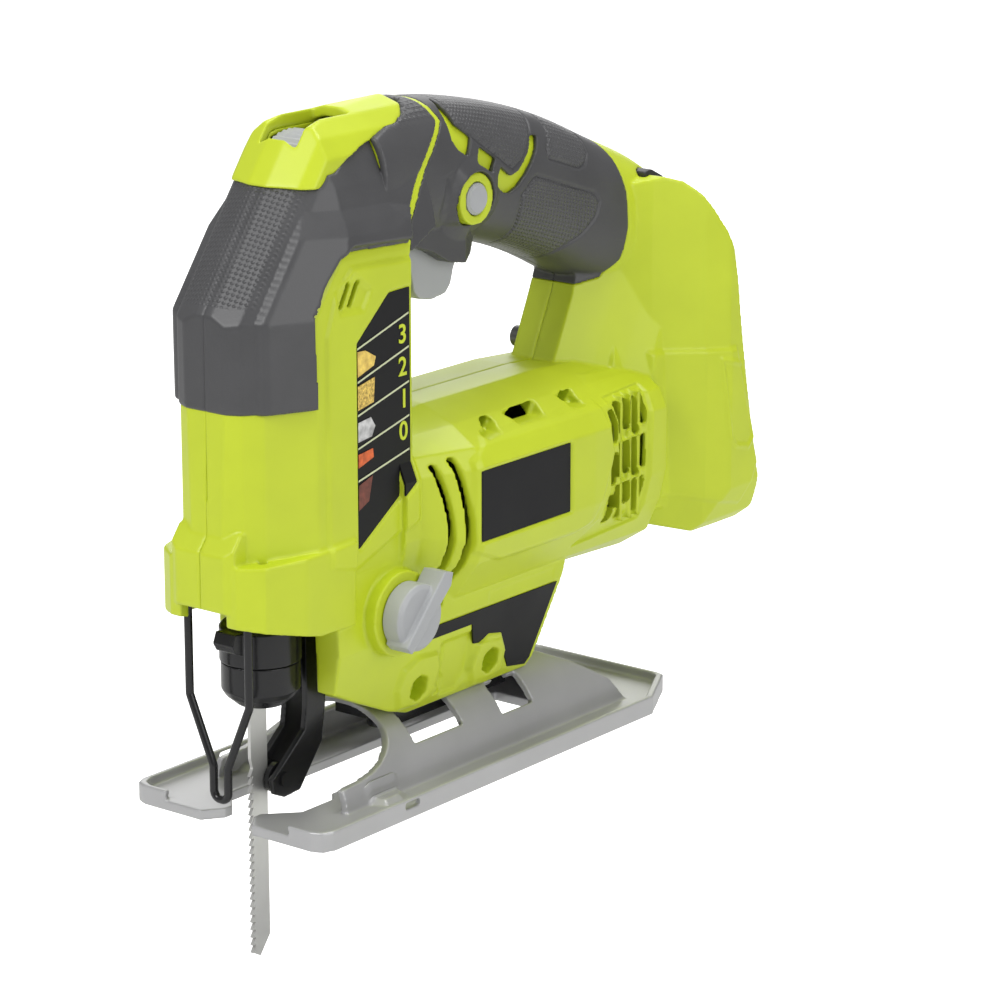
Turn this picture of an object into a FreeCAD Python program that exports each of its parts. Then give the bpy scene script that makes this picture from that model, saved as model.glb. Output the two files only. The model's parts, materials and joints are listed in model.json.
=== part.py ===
import FreeCAD, Part
import math
import os
import re

import Sketcher

# Cordless jigsaw. +X points to the front (blade) end, +Y to the tool's left side, +Z up.
# The origin is where the blade crosses the plane that the shoe rests on. Millimetres.

V = FreeCAD.Vector
doc = FreeCAD.newDocument("jigsaw")

values = {
    # clamshell housing
    "wall": 3.0,
    "skin": 1.6,
    "skin_gap": 0.02,
    "nose_front": 21.0,
    "nose_half": 24.2,
    "nose_floor": 71.5,
    "nose_back": -46.0,
    "body_top": 213.2,
    "barrel_half": 36.0,
    "barrel_back": -168.0,
    "handle_half": 17.5,
    "grip_reach": 29.0,
    "post_half": 21.0,
    "dock_half": 38.0,
    "foot_half": 18.0,
    "recess_back": -28.5,
    "recess_half": 14.6,
    "cap_floor": 131.5,
    # battery socket in the sloping rear face
    "socket_half": 20.0,
    "socket_height": 52.0,
    "socket_depth": 26.0,
    "socket_x": -205.0,
    "socket_z": 113.0,
    "dock_tilt": 17.7,
    # motor and gear train
    "motor_z": 89.0,
    "motor_front": -66.0,
    "motor_length": 62.0,
    "can_radius": 22.5,
    "can_wall": 2.0,
    "magnet_wall": 4.3,
    "armature_radius": 15.6,
    "armature_length": 36.0,
    "shaft_radius": 2.5,
    "running_gap": 0.05,
    "bearing_radius": 8.0,
    "bearing_width": 5.0,
    "fan_radius": 21.0,
    "fan_width": 6.5,
    "tooth_module": 0.8,
    "pinion_teeth": 12.0,
    "gear_teeth": 48.0,
    "gear_front": -26.0,
    "gear_width": 7.0,
    "pressure_angle": 25.0,
    "backlash": 0.16,
    "axle_radius": 4.0,
    "crank_radius": 10.0,
    "crank_angle": 30.0,
    "crank_pin_radius": 3.6,
    "plate_gap": 0.5,
    "plate_width": 6.0,
    # plunger, clamp and blade
    "plunger_x": -2.5,
    "rod_radius": 4.0,
    "rod_top": 166.0,
    "yoke_back": -20.0,
    "yoke_width": 7.0,
    "yoke_half": 17.0,
    "yoke_height": 14.0,
    "bush_radius": 8.0,
    "bush_length": 11.0,
    "low_bush_z": 75.0,
    "high_bush_z": 143.0,
    "clamp_bottom": 36.0,
    "clamp_top": 61.5,
    "clamp_radius": 10.0,
    "collar_radius": 12.6,
    "collar_height": 11.5,
    "collar_fit": 0.08,
    "blade_tip": -46.0,
    "blade_width": 8.0,
    "blade_back": -4.0,
    "blade_thickness": 1.2,
    "tooth_pitch": 2.5,
    # guide roller, its fork and the orbital selector
    "roller_x": -6.8,
    "roller_z": 10.8,
    "roller_radius": 4.9,
    "roller_groove": 2.6,
    "roller_width": 5.6,
    "fork_half": 5.2,
    "fork_cheek": 2.0,
    "fork_pin_x": -21.5,
    "fork_pin_z": 64.0,
    "pin_radius": 1.5,
    "pin_fit": 0.06,
    "selector_x": -36.0,
    "selector_z": 61.0,
    "selector_radius": 3.5,
    "selector_boss": 13.5,
    "knob_radius": 10.5,
    "knob_seat": 29.0,
    "knob_length": 9.0,
    # wire guard
    "guard_x": 16.4,
    "guard_wire": 1.3,
    "guard_half": 12.0,
    "guard_foot_half": 2.9,
    "guard_foot": 9.6,
    # tilting shoe
    "shoe_front": 14.7,
    "shoe_back": -175.0,
    "shoe_half": 39.0,
    "shoe_floor": 3.2,
    "shoe_rim": 6.3,
    "rim_width": 1.8,
    "arch_radius": 27.6,
    "arch_wall": 2.2,
    "ramp_start": -116.0,
    "ramp_back": -153.0,
    "saddle_gap": 0.35,
    "bolt_x": -60.0,
    "bolt_pitch": 39.0,
    "bolt_radius": 3.0,
    "tilt_limit": 45.0,
    # controls in the handle
    "trigger_half": 8.0,
    "trigger_pivot_x": -94.2,
    "trigger_pivot_z": 173.1,
    "lock_x": -85.0,
    "lock_z": 181.0,
    "lock_radius": 5.0,
    "lock_proud": 0.8,
    "dial_x": -26.0,
    "dial_z": 191.5,
    "dial_radius": 17.0,
    "dial_half": 6.5,
    # labels
    "label_depth": 0.6,
    "screw_radius": 2.0,
}

sheet = doc.addObject("Spreadsheet::Sheet", "Sizes")
for line, (word, value) in enumerate(values.items(), start=1):
    sheet.set(f"A{line}", word)
    sheet.set(f"B{line}", str(value))
    sheet.setAlias(f"B{line}", word)
doc.recompute()

nodes = {}


def tied(text):
    """Turn plain value words into references to the sheet."""
    return re.sub(r"[a-z][a-z_0-9]*", lambda m: "Sizes." + m[0] if m[0] in values else m[0], str(text))


def number(text):
    result = sheet.evalExpression(tied(text))
    return float(getattr(result, "Value", result))


def keep(name, item):
    item.Label = name
    nodes[name] = item
    return item


def hold(name, shape):
    """A sub-part whose shape comes from booleans of lofted or swept forms."""
    item = doc.addObject("Part::Feature", name)
    item.Shape = shape
    return keep(name, item)


# ---- sketch helpers: every corner of an outline is tied to the sheet ----

def origin_plane(body, role):
    return next(item for item in body.Origin.OriginFeatures if item.Role == role)


def new_sketch(body, role, offset="0"):
    sketch = body.newObject("Sketcher::SketchObject", "Outline")
    sketch.AttachmentSupport = (origin_plane(body, role), [""])
    sketch.MapMode = "FlatFace"
    sketch.setExpression("AttachmentOffset.Base.z", tied(offset))
    return sketch


def fix_point(sketch, geometry, corner, across, up):
    for kind, text in (("DistanceX", across), ("DistanceY", up)):
        rule = Sketcher.Constraint(kind, -1, 1, geometry, corner, number(text))
        place = sketch.addConstraint(rule)
        if re.search("[a-z]", str(text)):
            sketch.setExpression(f"Constraints[{place}]", tied(text))


def outline(sketch, corners):
    """A closed polygon; each corner is a pair of expressions."""
    spots = [V(number(across), number(up), 0) for across, up in corners]
    first = sketch.GeometryCount
    count = len(spots)
    for i in range(count):
        sketch.addGeometry(Part.LineSegment(spots[i], spots[(i + 1) % count]), False)
    for i in range(count):
        sketch.addConstraint(Sketcher.Constraint("Coincident", first + i, 2, first + (i + 1) % count, 1))
    for i, (across, up) in enumerate(corners):
        fix_point(sketch, first + i, 1, across, up)


def circle(sketch, across, up, radius):
    spot = V(number(across), number(up), 0)
    index = sketch.addGeometry(Part.Circle(spot, V(0, 0, 1), number(radius)), False)
    fix_point(sketch, index, 3, across, up)
    place = sketch.addConstraint(Sketcher.Constraint("Radius", index, number(radius)))
    sketch.setExpression(f"Constraints[{place}]", tied(radius))


def new_body(name):
    return keep(name, doc.addObject("PartDesign::Body", name))


def feature(body, kind, sketch, **properties):
    item = body.newObject(f"PartDesign::{kind}", kind)
    item.Profile = sketch
    for name, text in properties.items():
        if isinstance(text, bool):
            setattr(item, name, text)
        else:
            item.setExpression(name, tied(text))
    return item


def volume_of(body):
    doc.recompute()
    return body.Shape.Volume


def cut(body, sketch, **properties):
    """A pocket, turned round when it points away from the solid."""
    before = volume_of(body)
    pocket = feature(body, "Pocket", sketch, **properties)
    if volume_of(body) > before - 0.01:
        pocket.Reversed = not pocket.Reversed
    if volume_of(body) > before - 0.01:
        raise ValueError(f"{body.Label}: the pocket cuts nothing")
    return pocket


def padded(name, role, corners, offset, length, symmetric=False):
    """A body made from one straight pad."""
    body = new_body(name)
    sketch = new_sketch(body, role, offset)
    outline(sketch, corners)
    feature(body, "Pad", sketch, Length=length, Midplane=symmetric)
    return body


def rectangle(left, right, low, high):
    return [(left, low), (right, low), (right, high), (left, high)]


def turned(name, role, corners, axis, move=None):
    """A body of revolution about an axis of its sketch; move gives its place."""
    body = new_body(name)
    sketch = new_sketch(body, role)
    outline(sketch, corners)
    spin = body.newObject("PartDesign::Revolution", "Turn")
    spin.Profile = sketch
    spin.ReferenceAxis = (sketch, [axis])
    spin.Angle = 360
    for name_, text in (move or {}).items():
        body.setExpression(f"Placement.Base.{name_}", tied(text))
    return body


# ---- solid helpers for the lofted housing ----

AXES = {"x": V(1, 0, 0), "y": V(0, 1, 0), "z": V(0, 0, 1)}


def spot3(axis, pair, along):
    across, up = pair
    return {"x": V(along, across, up), "y": V(across, along, up), "z": V(across, up, along)}[axis]


def prism(axis, pairs, low, high, inset=0.0):
    """A straight prism of a polygon along an axis, pulled in all round by inset."""
    rim = Part.makePolygon([spot3(axis, pair, low + inset) for pair in pairs + pairs[:1]])
    face = Part.Face(rim)
    if inset:
        face = face.makeOffset2D(-inset, join=2)
    return face.extrude(AXES[axis] * (high - low - 2 * inset))


def mirrored(half):
    """The closed outline of a half outline given from its middle line outwards."""
    return half + [(-across, up) for across, up in reversed(half) if across > 0.01]


def sides(half):
    """As mirrored, for an outline whose second coordinate is the half width."""
    return half + [(across, -up) for across, up in reversed(half) if up > 0.01]


def shrink(half, inset):
    """Pull a half outline towards its own middle."""
    middle = sum(up for _, up in half) / len(half)
    return [(max(across - inset, 0.0), up - math.copysign(inset, up - middle)) for across, up in half]


def ring_wire(x, top, low, half, power=2.5, steps=28):
    """A rounded-rectangle-like section of the handle in a plane across the tool."""
    centre = (top + low) / 2
    tall = (top - low) / 2
    points = []
    for i in range(steps):
        angle = 2 * math.pi * i / steps
        c, s = math.cos(angle), math.sin(angle)
        y = half * math.copysign(abs(c) ** (2 / power), c)
        z = centre + tall * math.copysign(abs(s) ** (2 / power), s)
        points.append(V(x, y, z))
    curve = Part.BSplineCurve()
    curve.interpolate(points, PeriodicFlag=True)
    return Part.Wire([curve.toShape()])


s = {word: number(word) for word in values}

NOSE_SIDE = [
    (s["nose_front"], s["nose_floor"]), (s["nose_front"] - 1.2, 132), (s["nose_front"] - 1.4, 160),
    (4, 196), (-10, 207), (-24, 211), (-38, s["body_top"] - 1), (-62, s["body_top"]),
    (-62, 178), (s["nose_back"], 171), (s["nose_back"], s["nose_floor"]),
]
NOSE_PLAN = sides([
    (s["nose_front"], 5), (s["nose_front"] - 3.4, 12), (s["nose_front"] - 8.6, s["nose_half"] - 7.8),
    (-3, s["nose_half"] - 0.4), (s["nose_back"] - 14, s["nose_half"]),
])
SLOPE_LEAN = -0.733
SLOPE_PLAN = sides([
    (100.2, 3), (96.8, 12), (91.7, s["nose_half"] - 7.8), (76.1, s["nose_half"] - 0.3),
    (-200, s["nose_half"] + 0.5),
])
NOSE_END = mirrored([
    (s["nose_half"], 60), (s["nose_half"], 172), (s["nose_half"] - 2.5, 184), (s["nose_half"] - 5.7, 194),
    (s["nose_half"] - 9, 201), (s["nose_half"] - 12.5, 207), (s["nose_half"] - 17, 211), (0, s["body_top"]),
])
FOOT_SIDE = [
    (-10, s["nose_floor"] + 5), (-11.5, 39.6), (-24, 33.7), (-40, 26.5), (-55, 21.5), (-66, 20.6),
(-86, 20.9), (-101, 16.8), (-112, 21.8), (-122, 51), (-131, s["nose_floor"] + 5),
]
FOOT_END = mirrored([
    (s["foot_half"] - 4, 17), (s["foot_half"] - 1.3, 22.3), (s["foot_half"] + 1, 26.4),
    (s["foot_half"] + 3, 36),
    (s["nose_half"], 52), (s["nose_half"], 90),
])
HANDLE_RINGS = [
    (-40, 211.5, 169, 2.5), (-60, 213, 168, 1.0), (-78, 212.4, 167.5, 0.2), (-98, 209.3, 164, 0),
    (-120, 204, 157.5, 0), (-140, 197, 149, 0.5), (-160, 188.5, 140, 1.5), (-184, 177, 132, 3.5),
]
BARREL_FULL = [
    (0, 52), (12, 52), (25, 58.5), (s["barrel_half"] - 2, 71), (s["barrel_half"], 78),
    (s["barrel_half"], 102), (s["barrel_half"] - 3, 108), (s["barrel_half"] - 12, 114), (12, 119), (0, 121),
]
BARREL_FRONT = [
    (0, 57), (8, 58), (18, 63), (24, 73), (26.5, 82), (26.5, 101), (24, 107), (18, 112), (10, 116.5),
    (0, 118.5),
]
BARREL_BACK = [
    (0, 50), (14, 51), (25, 58), (30, 69), (32.5, 80), (32.5, 101), (30, 107), (22, 112), (12, 116),
    (0, 118),
]
POST_SIDE = [
    (-134, 160), (-142, 152), (-149.5, 145), (-147.5, 139), (-139, 121), (-131, 104), (-170, 64),
    (-208, 64),
    (-202, 118), (-180, 172), (-165, 184),
]
POST_LEAN = -0.45
POST_PLAN = sides([
    (-90, 4), (-112, s["post_half"] - 13), (-127, s["post_half"] - 5.5), (-138, s["post_half"] - 0.5),
    (-147, s["post_half"] + 4), (-186, s["post_half"] + 6),
])
GUARD_SIDE = [
    (-58, 185), (-58, 170), (-70, 166), (-78, 161.5), (-86.5, 160), (-91.5, 162), (-97, 170), (-99, 185),
]
GUARD_PLAN = sides([(-54, 13.5), (-86, 13.5), (-94, 10), (-104, 8)])
DOCK_SIDE = [
    (-212, 53.5), (-216, 58), (-215.5, 64), (-210.8, 82), (-206.6, 103), (-203.2, 121), (-200.5, 139),
    (-198.3, 149), (-195, 156), (-190.4, 163.3), (-186, 169.3), (-181, 173.6), (-175, 175.6), (-166, 173.5),
    (-158, 168), (-158, 127), (-160, 78), (-156, 63), (-186, 54),
]
DOCK_PLAN = sides([
    (-150, 8), (-158, 10), (-172, s["dock_half"] - 15), (-187, s["dock_half"] - 4), (-196, s["dock_half"]),
    (-222, s["dock_half"]),
])
DOCK_END = mirrored([
    (s["dock_half"] - 12, 50), (s["dock_half"] - 4, 57), (s["dock_half"], 68), (s["dock_half"], 160),
    (s["dock_half"] - 4, 171), (s["dock_half"] - 12, 176),
])


def lofted_barrel(inset):
    stations = (
        (s["nose_back"] + 6, BARREL_FRONT), (s["nose_back"] - 1, BARREL_FRONT),
        (s["nose_back"] - 20, BARREL_FULL),
        (s["barrel_back"] + 45, BARREL_FULL), (s["barrel_back"], BARREL_BACK),
    )
    wires = []
    for x, half in stations:
        rim = mirrored(shrink(half, inset)[1:-1])
        wires.append(Part.makePolygon([V(x, y, z) for y, z in rim + rim[:1]]))
    return Part.makeLoft(wires, True, True)


def lofted_handle(inset):
    wires = [
        ring_wire(x, top - inset, low + inset, s["handle_half"] + wider - inset)
        for x, top, low, wider in HANDLE_RINGS
    ]
    return Part.makeLoft(wires, True, False)


def leaning(plan, lean, low, high, inset):
    """A prism of a plan section that moves along by lean for every millimetre it rises."""
    rim = Part.makePolygon([V(across, up, low) for across, up in plan + plan[:1]])
    face = Part.Face(rim)
    if inset:
        face = face.makeOffset2D(-inset, join=2)
    return face.extrude(V(lean, 0, 1) * (high - low))


def crossed(side, plan, end, inset):
    """A form bounded by its side view, plan and end view together."""
    across = 60.0
    solid = prism("y", side, -across, across, inset)
    if plan:
        solid = solid.common(prism("z", plan, 0, 260, inset))
    if end:
        solid = solid.common(prism("x", end, -260, 60, inset))
    return solid


def sloped_nose(inset):
    """The nose, whose rounded front leans back above the cover's crease."""
    upright = crossed(NOSE_SIDE, NOSE_PLAN, NOSE_END, inset)
    return upright.common(leaning(SLOPE_PLAN, SLOPE_LEAN, 50, 260, inset))


def envelope(inset):
    """The whole housing as one solid, its surface pulled in by inset."""
    nose = sloped_nose(inset)
    post = prism("y", POST_SIDE, -60, 60, inset).common(leaning(POST_PLAN, POST_LEAN, 64, 194, inset))
    foot = crossed(FOOT_SIDE, None, FOOT_END, inset)
    guard = crossed(GUARD_SIDE, GUARD_PLAN, None, inset)
    dock = crossed(DOCK_SIDE, DOCK_PLAN, DOCK_END, inset)
    whole = nose.fuse([foot, lofted_barrel(inset), lofted_handle(inset), post, dock, guard])
    half = s["recess_half"] + inset
    recess = Part.makeBox(
        80, 2 * half, s["nose_floor"] + 6, V(s["recess_back"] - inset, -half, -6 + inset)
    )
    arch = Part.makeCylinder(s["arch_radius"] + s["saddle_gap"] + inset, 260, V(-240, 0, 0), AXES["x"])
    return whole.cut([recess, arch])


def pipe(axis, radius, low, high, across, up):
    """A round bar along an axis between two stations."""
    return Part.makeCylinder(radius, high - low, spot3(axis, (across, up), low), AXES[axis])


def block(low, high):
    return Part.makeBox(high[0] - low[0], high[1] - low[1], high[2] - low[2], V(*low))


# ---- housing ribs, bosses and openings ----

def tilted(shape):
    """Carry a shape from the socket's own axes to the sloping rear face."""
    shape.rotate(V(0, 0, 0), AXES["y"], s["dock_tilt"])
    shape.translate(V(s["socket_x"], 0, s["socket_z"]))
    return shape


def socket_block(extra):
    half = s["socket_half"] + extra
    tall = s["socket_height"] / 2 + extra
    return tilted(Part.makeBox(s["socket_depth"] + 30 + extra, 2 * half, 2 * tall, V(-30, -half, -tall)))


motor_back = s["motor_front"] - s["motor_length"]
pinion_z = s["motor_z"]
gear_z = pinion_z + s["tooth_module"] * (s["pinion_teeth"] + s["gear_teeth"]) / 2
bolt_xs = (s["bolt_x"], s["bolt_x"] - s["bolt_pitch"])
WIDE = 60.0
PILLARS = [(7, 158), (-20, 78.2), (-47, 44), (-48.2, 108), (-113, 57), (-113, 198), (-147, 160), (-151, 121)]
HEX_PLACES = [(-52.5, 31.5), (-88.5, 31.5)]
BADGE = rectangle(-110.5, -65.5, 78.5, 101)
SPEED_PANEL = [(-20.5, 147.5), (-35.5, 160.6), (-45.2, 161), (-45.2, 100.5), (-20.5, 84)]
LOWER_PANEL = [
    (-50.3, 51), (-119.5, 51), (-110.5, 24), (-100, 26), (-93, 37.5), (-79, 39.5), (-76.5, 46.8),
    (-50.3, 46.8),
]
CAP_SIDE = [
    (40, s["cap_floor"]), (-1.5, s["cap_floor"]), (-1, 159), (-7, 166.5), (-14, 174), (-18, 176),
    (-45.5, 174.5),
    (-45.8, 181), (-53, 190), (-62.3, 199.5), (-70.2, 206.5), (-68.4, 214), (-67, 222), (40, 222),
]
GRIP_SIDE = [
    (-70, 222), (-71.4, 214), (-73, 206.3), (-65, 198.3), (-55.8, 188.8), (-48.6, 179.8),
    (-46.3, 172), (-58, 160),
    (-95, 150), (-123, 150), (-140, 141.5), (-149, 142), (-157, 143.5), (-162.5, 149), (-164, 160),
    (-163.5, 172),
    (-161.5, 182), (-158, 190), (-149, 222),
]
BEZEL_PLAN = sides([(10, 16.5), (-34, 16.5), (-47, 15.5), (-58, 11), (-65, 4)])
BEZEL_SIDE = [
    (10, 195), (-14, 194.2), (-20, 197.5), (-27, 201.6), (-34, 204), (-41, 205.6), (-48, 207.6),
    (-70, 208.6),
    (-70, 230), (10, 230),
]
DIAL_REACH = s["dial_radius"] + 0.6
DIAL_WINDOW = 12.2
DIAL_SLOT = (
    (s["dial_x"] - DIAL_REACH, -s["dial_half"] - 0.6, 186),
    (s["dial_x"] + DIAL_REACH, s["dial_half"] + 0.6, 222),
)
BEZEL_WINDOW = (
    (s["dial_x"] - DIAL_WINDOW, -s["dial_half"] - 0.6, 186),
    (s["dial_x"] + DIAL_WINDOW, s["dial_half"] + 0.6, 222),
)
BUMPER_SIDE = [(-183, 169.4), (-173.5, 171), (-173, 176.6), (-177, 177.1), (-183.6, 173.9)]
BUMPER_HALF = 19.0


def both(shape):
    """A left-side shape and its mirror image."""
    return shape.fuse(shape.mirror(V(0, 0, 0), AXES["y"]))


def ribs():
    across = 2 * WIDE
    found = []
    for x in (s["motor_front"] - 10, motor_back + 6):
        found.append(Part.makeBox(6, across, 85, V(x - 3, -WIDE, 50)))
    for z in (s["low_bush_z"], s["high_bush_z"]):
        found.append(Part.makeBox(42, across, 8, V(s["plunger_x"] - 12, -WIDE, z + 1)))
    found.append(Part.makeBox(20, across, 14, V(10, -WIDE, s["nose_floor"])))
    for x in (-100.8, -129.2):
        found.append(Part.makeBox(3, across, 60, V(x, -WIDE, 150)))
    for x in bolt_xs:
        found.append(Part.makeBox(16, across, 24, V(x - 8, -WIDE, 16)))
    for x, z in PILLARS:
        found.append(pipe("y", 4.5, -WIDE, WIDE, x, z))
    for x, z in HEX_PLACES:
        found.append(both(pipe("y", 7, 8, WIDE, x, z)))
    pivot_boss = pipe("y", 4.5, s["trigger_half"] + 0.6, WIDE, s["trigger_pivot_x"], s["trigger_pivot_z"])
    found.append(both(pivot_boss))
    found.append(pipe("y", 6, -WIDE, -16, s["selector_x"], s["selector_z"]))
    found.append(pipe("y", 4.5, -WIDE, -s["dial_half"] - 1, s["dial_x"], s["dial_z"]))
    found.append(Part.makeBox(20, 40, 5, V(s["dial_x"] - 10, s["dial_half"] + 0.6, s["dial_z"] - 18)))
    return found[0].fuse(found[1:])


def slot_openings():
    """What is cut through the left wall and, mirrored, through the right one."""
    found = [
        Part.makeBox(2.2, 40, 46, V(-54.4, 21, 60)),
        Part.makeBox(2.2, 40, 47, V(-60.9, 22, 57)),
        prism("y", [(-73, 110.4), (-84, 112.8), (-81, 109.4), (-73.6, 108.8)], 24, 38),
        prism("y", [(-89, 113.4), (-107, 114), (-105, 110), (-93, 109.8)], 24, 38),
        prism("y", [(-117, 114), (-122, 114), (-126.5, 109.6), (-120, 109.6)], 24, 38),
        Part.makeBox(34, 8, 4, V(-118, 24, 52)),
        prism("y", [(-12.5, 159), (-17, 167), (-19, 167), (-14.5, 159)], 18, 30),
        prism("y", [(-16.5, 159), (-21, 167), (-23, 167), (-18.5, 159)], 18, 30),
    ]
    for x in (-139, -146, -153):
        for z, tall in ((68, 10), (81, 11), (95, 11)):
            found.append(Part.makeBox(4.6, 30, tall, V(x, 22, z)))
    for x, z in HEX_PLACES:
        hexagon = Part.Face(Part.makePolygon([
            V(x + 4.4 * math.cos(k * math.pi / 3 + 0.5), 14, z + 4.4 * math.sin(k * math.pi / 3 + 0.5))
            for k in range(7)
        ]))
        found.append(hexagon.extrude(V(0, 20, 0)))
    return both(found[0].fuse(found[1:]))


def bores():
    found = [
        pipe("x", s["can_radius"] + 0.3, motor_back - 2, s["motor_front"] + 8, 0, pinion_z),
        pipe("z", s["bush_radius"] + 0.02, s["nose_floor"] + 3.4, s["high_bush_z"] + s["bush_length"],
             s["plunger_x"], 0),
        pipe("z", s["rod_radius"] + 3, 50, 100, s["plunger_x"], 0),
        pipe("y", s["lock_radius"] + 0.25, -WIDE, WIDE, s["lock_x"], s["lock_z"]),
        pipe("y", s["pin_radius"] + 0.02, -13, 13, s["trigger_pivot_x"], s["trigger_pivot_z"]),
        pipe("y", s["pin_radius"] + 0.02, -18, 18, s["fork_pin_x"], s["fork_pin_z"]),
        pipe("y", s["selector_radius"] + s["running_gap"], -20, WIDE, s["selector_x"], s["selector_z"]),
        pipe("y", 2 + s["running_gap"], -13, 0, s["dial_x"], s["dial_z"]),
        Part.makeBox(30.5, 2 * s["trigger_half"] + 0.8, 16, V(-91, -s["trigger_half"] - 0.4, 158)),
        block(*DIAL_SLOT),
        prism("y", BUMPER_SIDE, -BUMPER_HALF - 0.02, BUMPER_HALF + 0.02),
        socket_block(0.0),
    ]
    for side in (-1, 1):
        found.append(pipe("z", s["guard_wire"] + 0.02, 60, 86, s["guard_x"], side * s["guard_half"]))
    for x in bolt_xs:
        found.append(pipe("z", s["bolt_radius"] + 0.02, 10, 39, x, 0))
    for x, z in PILLARS:
        found.append(pipe("y", s["screw_radius"], -14, 8, x, z))
        found.append(pipe("y", 3.7, -WIDE, -14, x, z))
    return found[0].fuse(found[1:])


def nose_skirt():
    """The thicker foot of the nose: a front block and two aprons that hang beside the blade clamp."""
    front = prism("z", sides([(24, 9.5), (22.4, 12.5), (10, 12.5)]), s["nose_floor"], 96)
    front = front.common(prism("y", [(24, 60), (24, 89), (19, 95.5), (10, 95.5), (10, 60)], -WIDE, WIDE))
    apron = prism("z", [
        (22.8, 13), (17.5, 20.4), (4, 25), (-18, 25.4), (-18, 21.5), (2, 21.2), (14.5, 16.6),
        (19.3, 9), (22.8, 9),
    ], 60, 90)
    apron = apron.common(prism("y", [(24, 67.5), (-2, 61.5), (-18, 61.5), (-18, 88), (24, 86)], 0, WIDE))
    return both(apron).fuse(front)


outer = envelope(0.0)
solid = outer.fuse([
    pipe("y", s["selector_boss"], 20, s["knob_seat"] - 0.3, s["selector_x"], s["selector_z"]),
    both(pipe("y", s["lock_radius"] + 3.2, 10, s["handle_half"] + 1.2, s["lock_x"], s["lock_z"])),
    nose_skirt(),
])
hollow = envelope(s["wall"]).cut([
    socket_block(s["wall"]),
    pipe("y", s["lock_radius"] + 3.2, -WIDE, WIDE, s["lock_x"], s["lock_z"]).cut(
        pipe("y", s["lock_radius"] + 3.2, -12, 12, s["lock_x"], s["lock_z"])),
])
shell = solid.cut(hollow.cut(ribs())).cut(bores()).cut(slot_openings())

skin_core = envelope(s["skin"])
skin_seat = envelope(s["skin"] + s["skin_gap"])
bezel_prism = prism("y", BEZEL_SIDE, -WIDE, WIDE).common(prism("z", BEZEL_PLAN, 176, 240))
cap_region = prism("y", CAP_SIDE, -WIDE, WIDE).cut(bezel_prism)
lock_clear = pipe("y", s["lock_radius"] + 3.4, -WIDE, WIDE, s["lock_x"], s["lock_z"])
grip_region = prism("y", GRIP_SIDE, -s["grip_reach"], s["grip_reach"]).cut(lock_clear)
skin_tools = [cap_region, grip_region]
skin_band = solid.cut(skin_seat)
shell = shell.cut([skin_band.common(region) for region in skin_tools])
shell = shell.cut(skin_band.common(bezel_prism))

label_core = envelope(s["label_depth"])
label_band = outer.cut(label_core)


def panel(outline_points, low, high):
    return label_band.common(prism("y", outline_points, low, high))


labels = {
    "speed_label": panel(SPEED_PANEL, 10, WIDE),
    "badge_left": panel(BADGE, 10, WIDE),
    "badge_right": panel(BADGE, -WIDE, -10),
    "lower_label": panel(LOWER_PANEL, 10, WIDE).cut(slot_openings()),
}
for name, shape in labels.items():
    shell = shell.cut(shape)
    hold(name, shape)

left_space = block((-300, 0, -20), (100, 100, 300))
right_space = block((-300, -100, -20), (100, 0, 300))


def biggest(shape):
    """The shell itself, without crumbs that an opening leaves."""
    return max(shape.Solids, key=lambda part: part.Volume)


for side, space in (("left", left_space), ("right", right_space)):
    hold(f"housing_{side}", biggest(shell.common(space)))
    covers = outer.cut(skin_core).common(space).cut(bores())
    hold(f"nose_cover_{side}", biggest(covers.common(cap_region)))
    hold(f"grip_{side}", biggest(covers.common(grip_region)))

raised = sloped_nose(-1.8).common(bezel_prism)
dial_clear = pipe("y", DIAL_REACH, -s["dial_half"] - 0.6, s["dial_half"] + 0.6, s["dial_x"], s["dial_z"])
bezel = raised.cut([skin_core, block(*BEZEL_WINDOW), dial_clear])
hold("dial_bezel", biggest(bezel))
hold("rubber_bumper", prism("y", BUMPER_SIDE, -BUMPER_HALF, BUMPER_HALF))


# ---- motor: can, magnets, armature, brush ring, bearings and fan ----

FRONT = "motor_front"
BACK = "(motor_front - motor_length)"
OUT = "can_radius"
LIFT = {"z": "motor_z"}

turned("motor_can", "XZ_Plane", [
    (FRONT, "bearing_radius"), (FRONT, OUT), (BACK, OUT), (BACK, "bearing_radius"),
    (f"{BACK} + bearing_width", "bearing_radius"), (f"{BACK} + bearing_width", "bearing_radius + 2"),
    (f"{BACK} + can_wall", "bearing_radius + 2"), (f"{BACK} + can_wall", f"{OUT} - can_wall"),
    (f"{FRONT} - can_wall", f"{OUT} - can_wall"), (f"{FRONT} - can_wall", "bearing_radius + 2"),
    (f"{FRONT} - bearing_width", "bearing_radius + 2"), (f"{FRONT} - bearing_width", "bearing_radius"),
], "H_Axis", LIFT)


def bearing(name, front):
    """A small ball bearing, drawn as one ring with shallow side grooves."""
    middle = "(bearing_radius + shaft_radius) / 2"
    back = f"{front} - bearing_width"
    turned(name, "XZ_Plane", [
        (front, "shaft_radius + running_gap"), (front, f"{middle} - 1.2"),
        (f"{front} - 0.5", f"{middle} - 1.2"),
        (f"{front} - 0.5", f"{middle} + 1.2"), (front, f"{middle} + 1.2"), (front, "bearing_radius"),
        (back, "bearing_radius"), (back, f"{middle} + 1.2"), (f"{back} + 0.5", f"{middle} + 1.2"),
        (f"{back} + 0.5", f"{middle} - 1.2"), (back, f"{middle} - 1.2"),
        (back, "shaft_radius + running_gap"),
    ], "H_Axis", LIFT)


bearing("front_bearing", FRONT)
bearing("rear_bearing", f"({BACK} + bearing_width)")
PLATE_BACK = "(nose_back + wall + plate_gap)"
bearing("pinion_bearing", f"({PLATE_BACK} + bearing_width + 0.5)")

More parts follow.
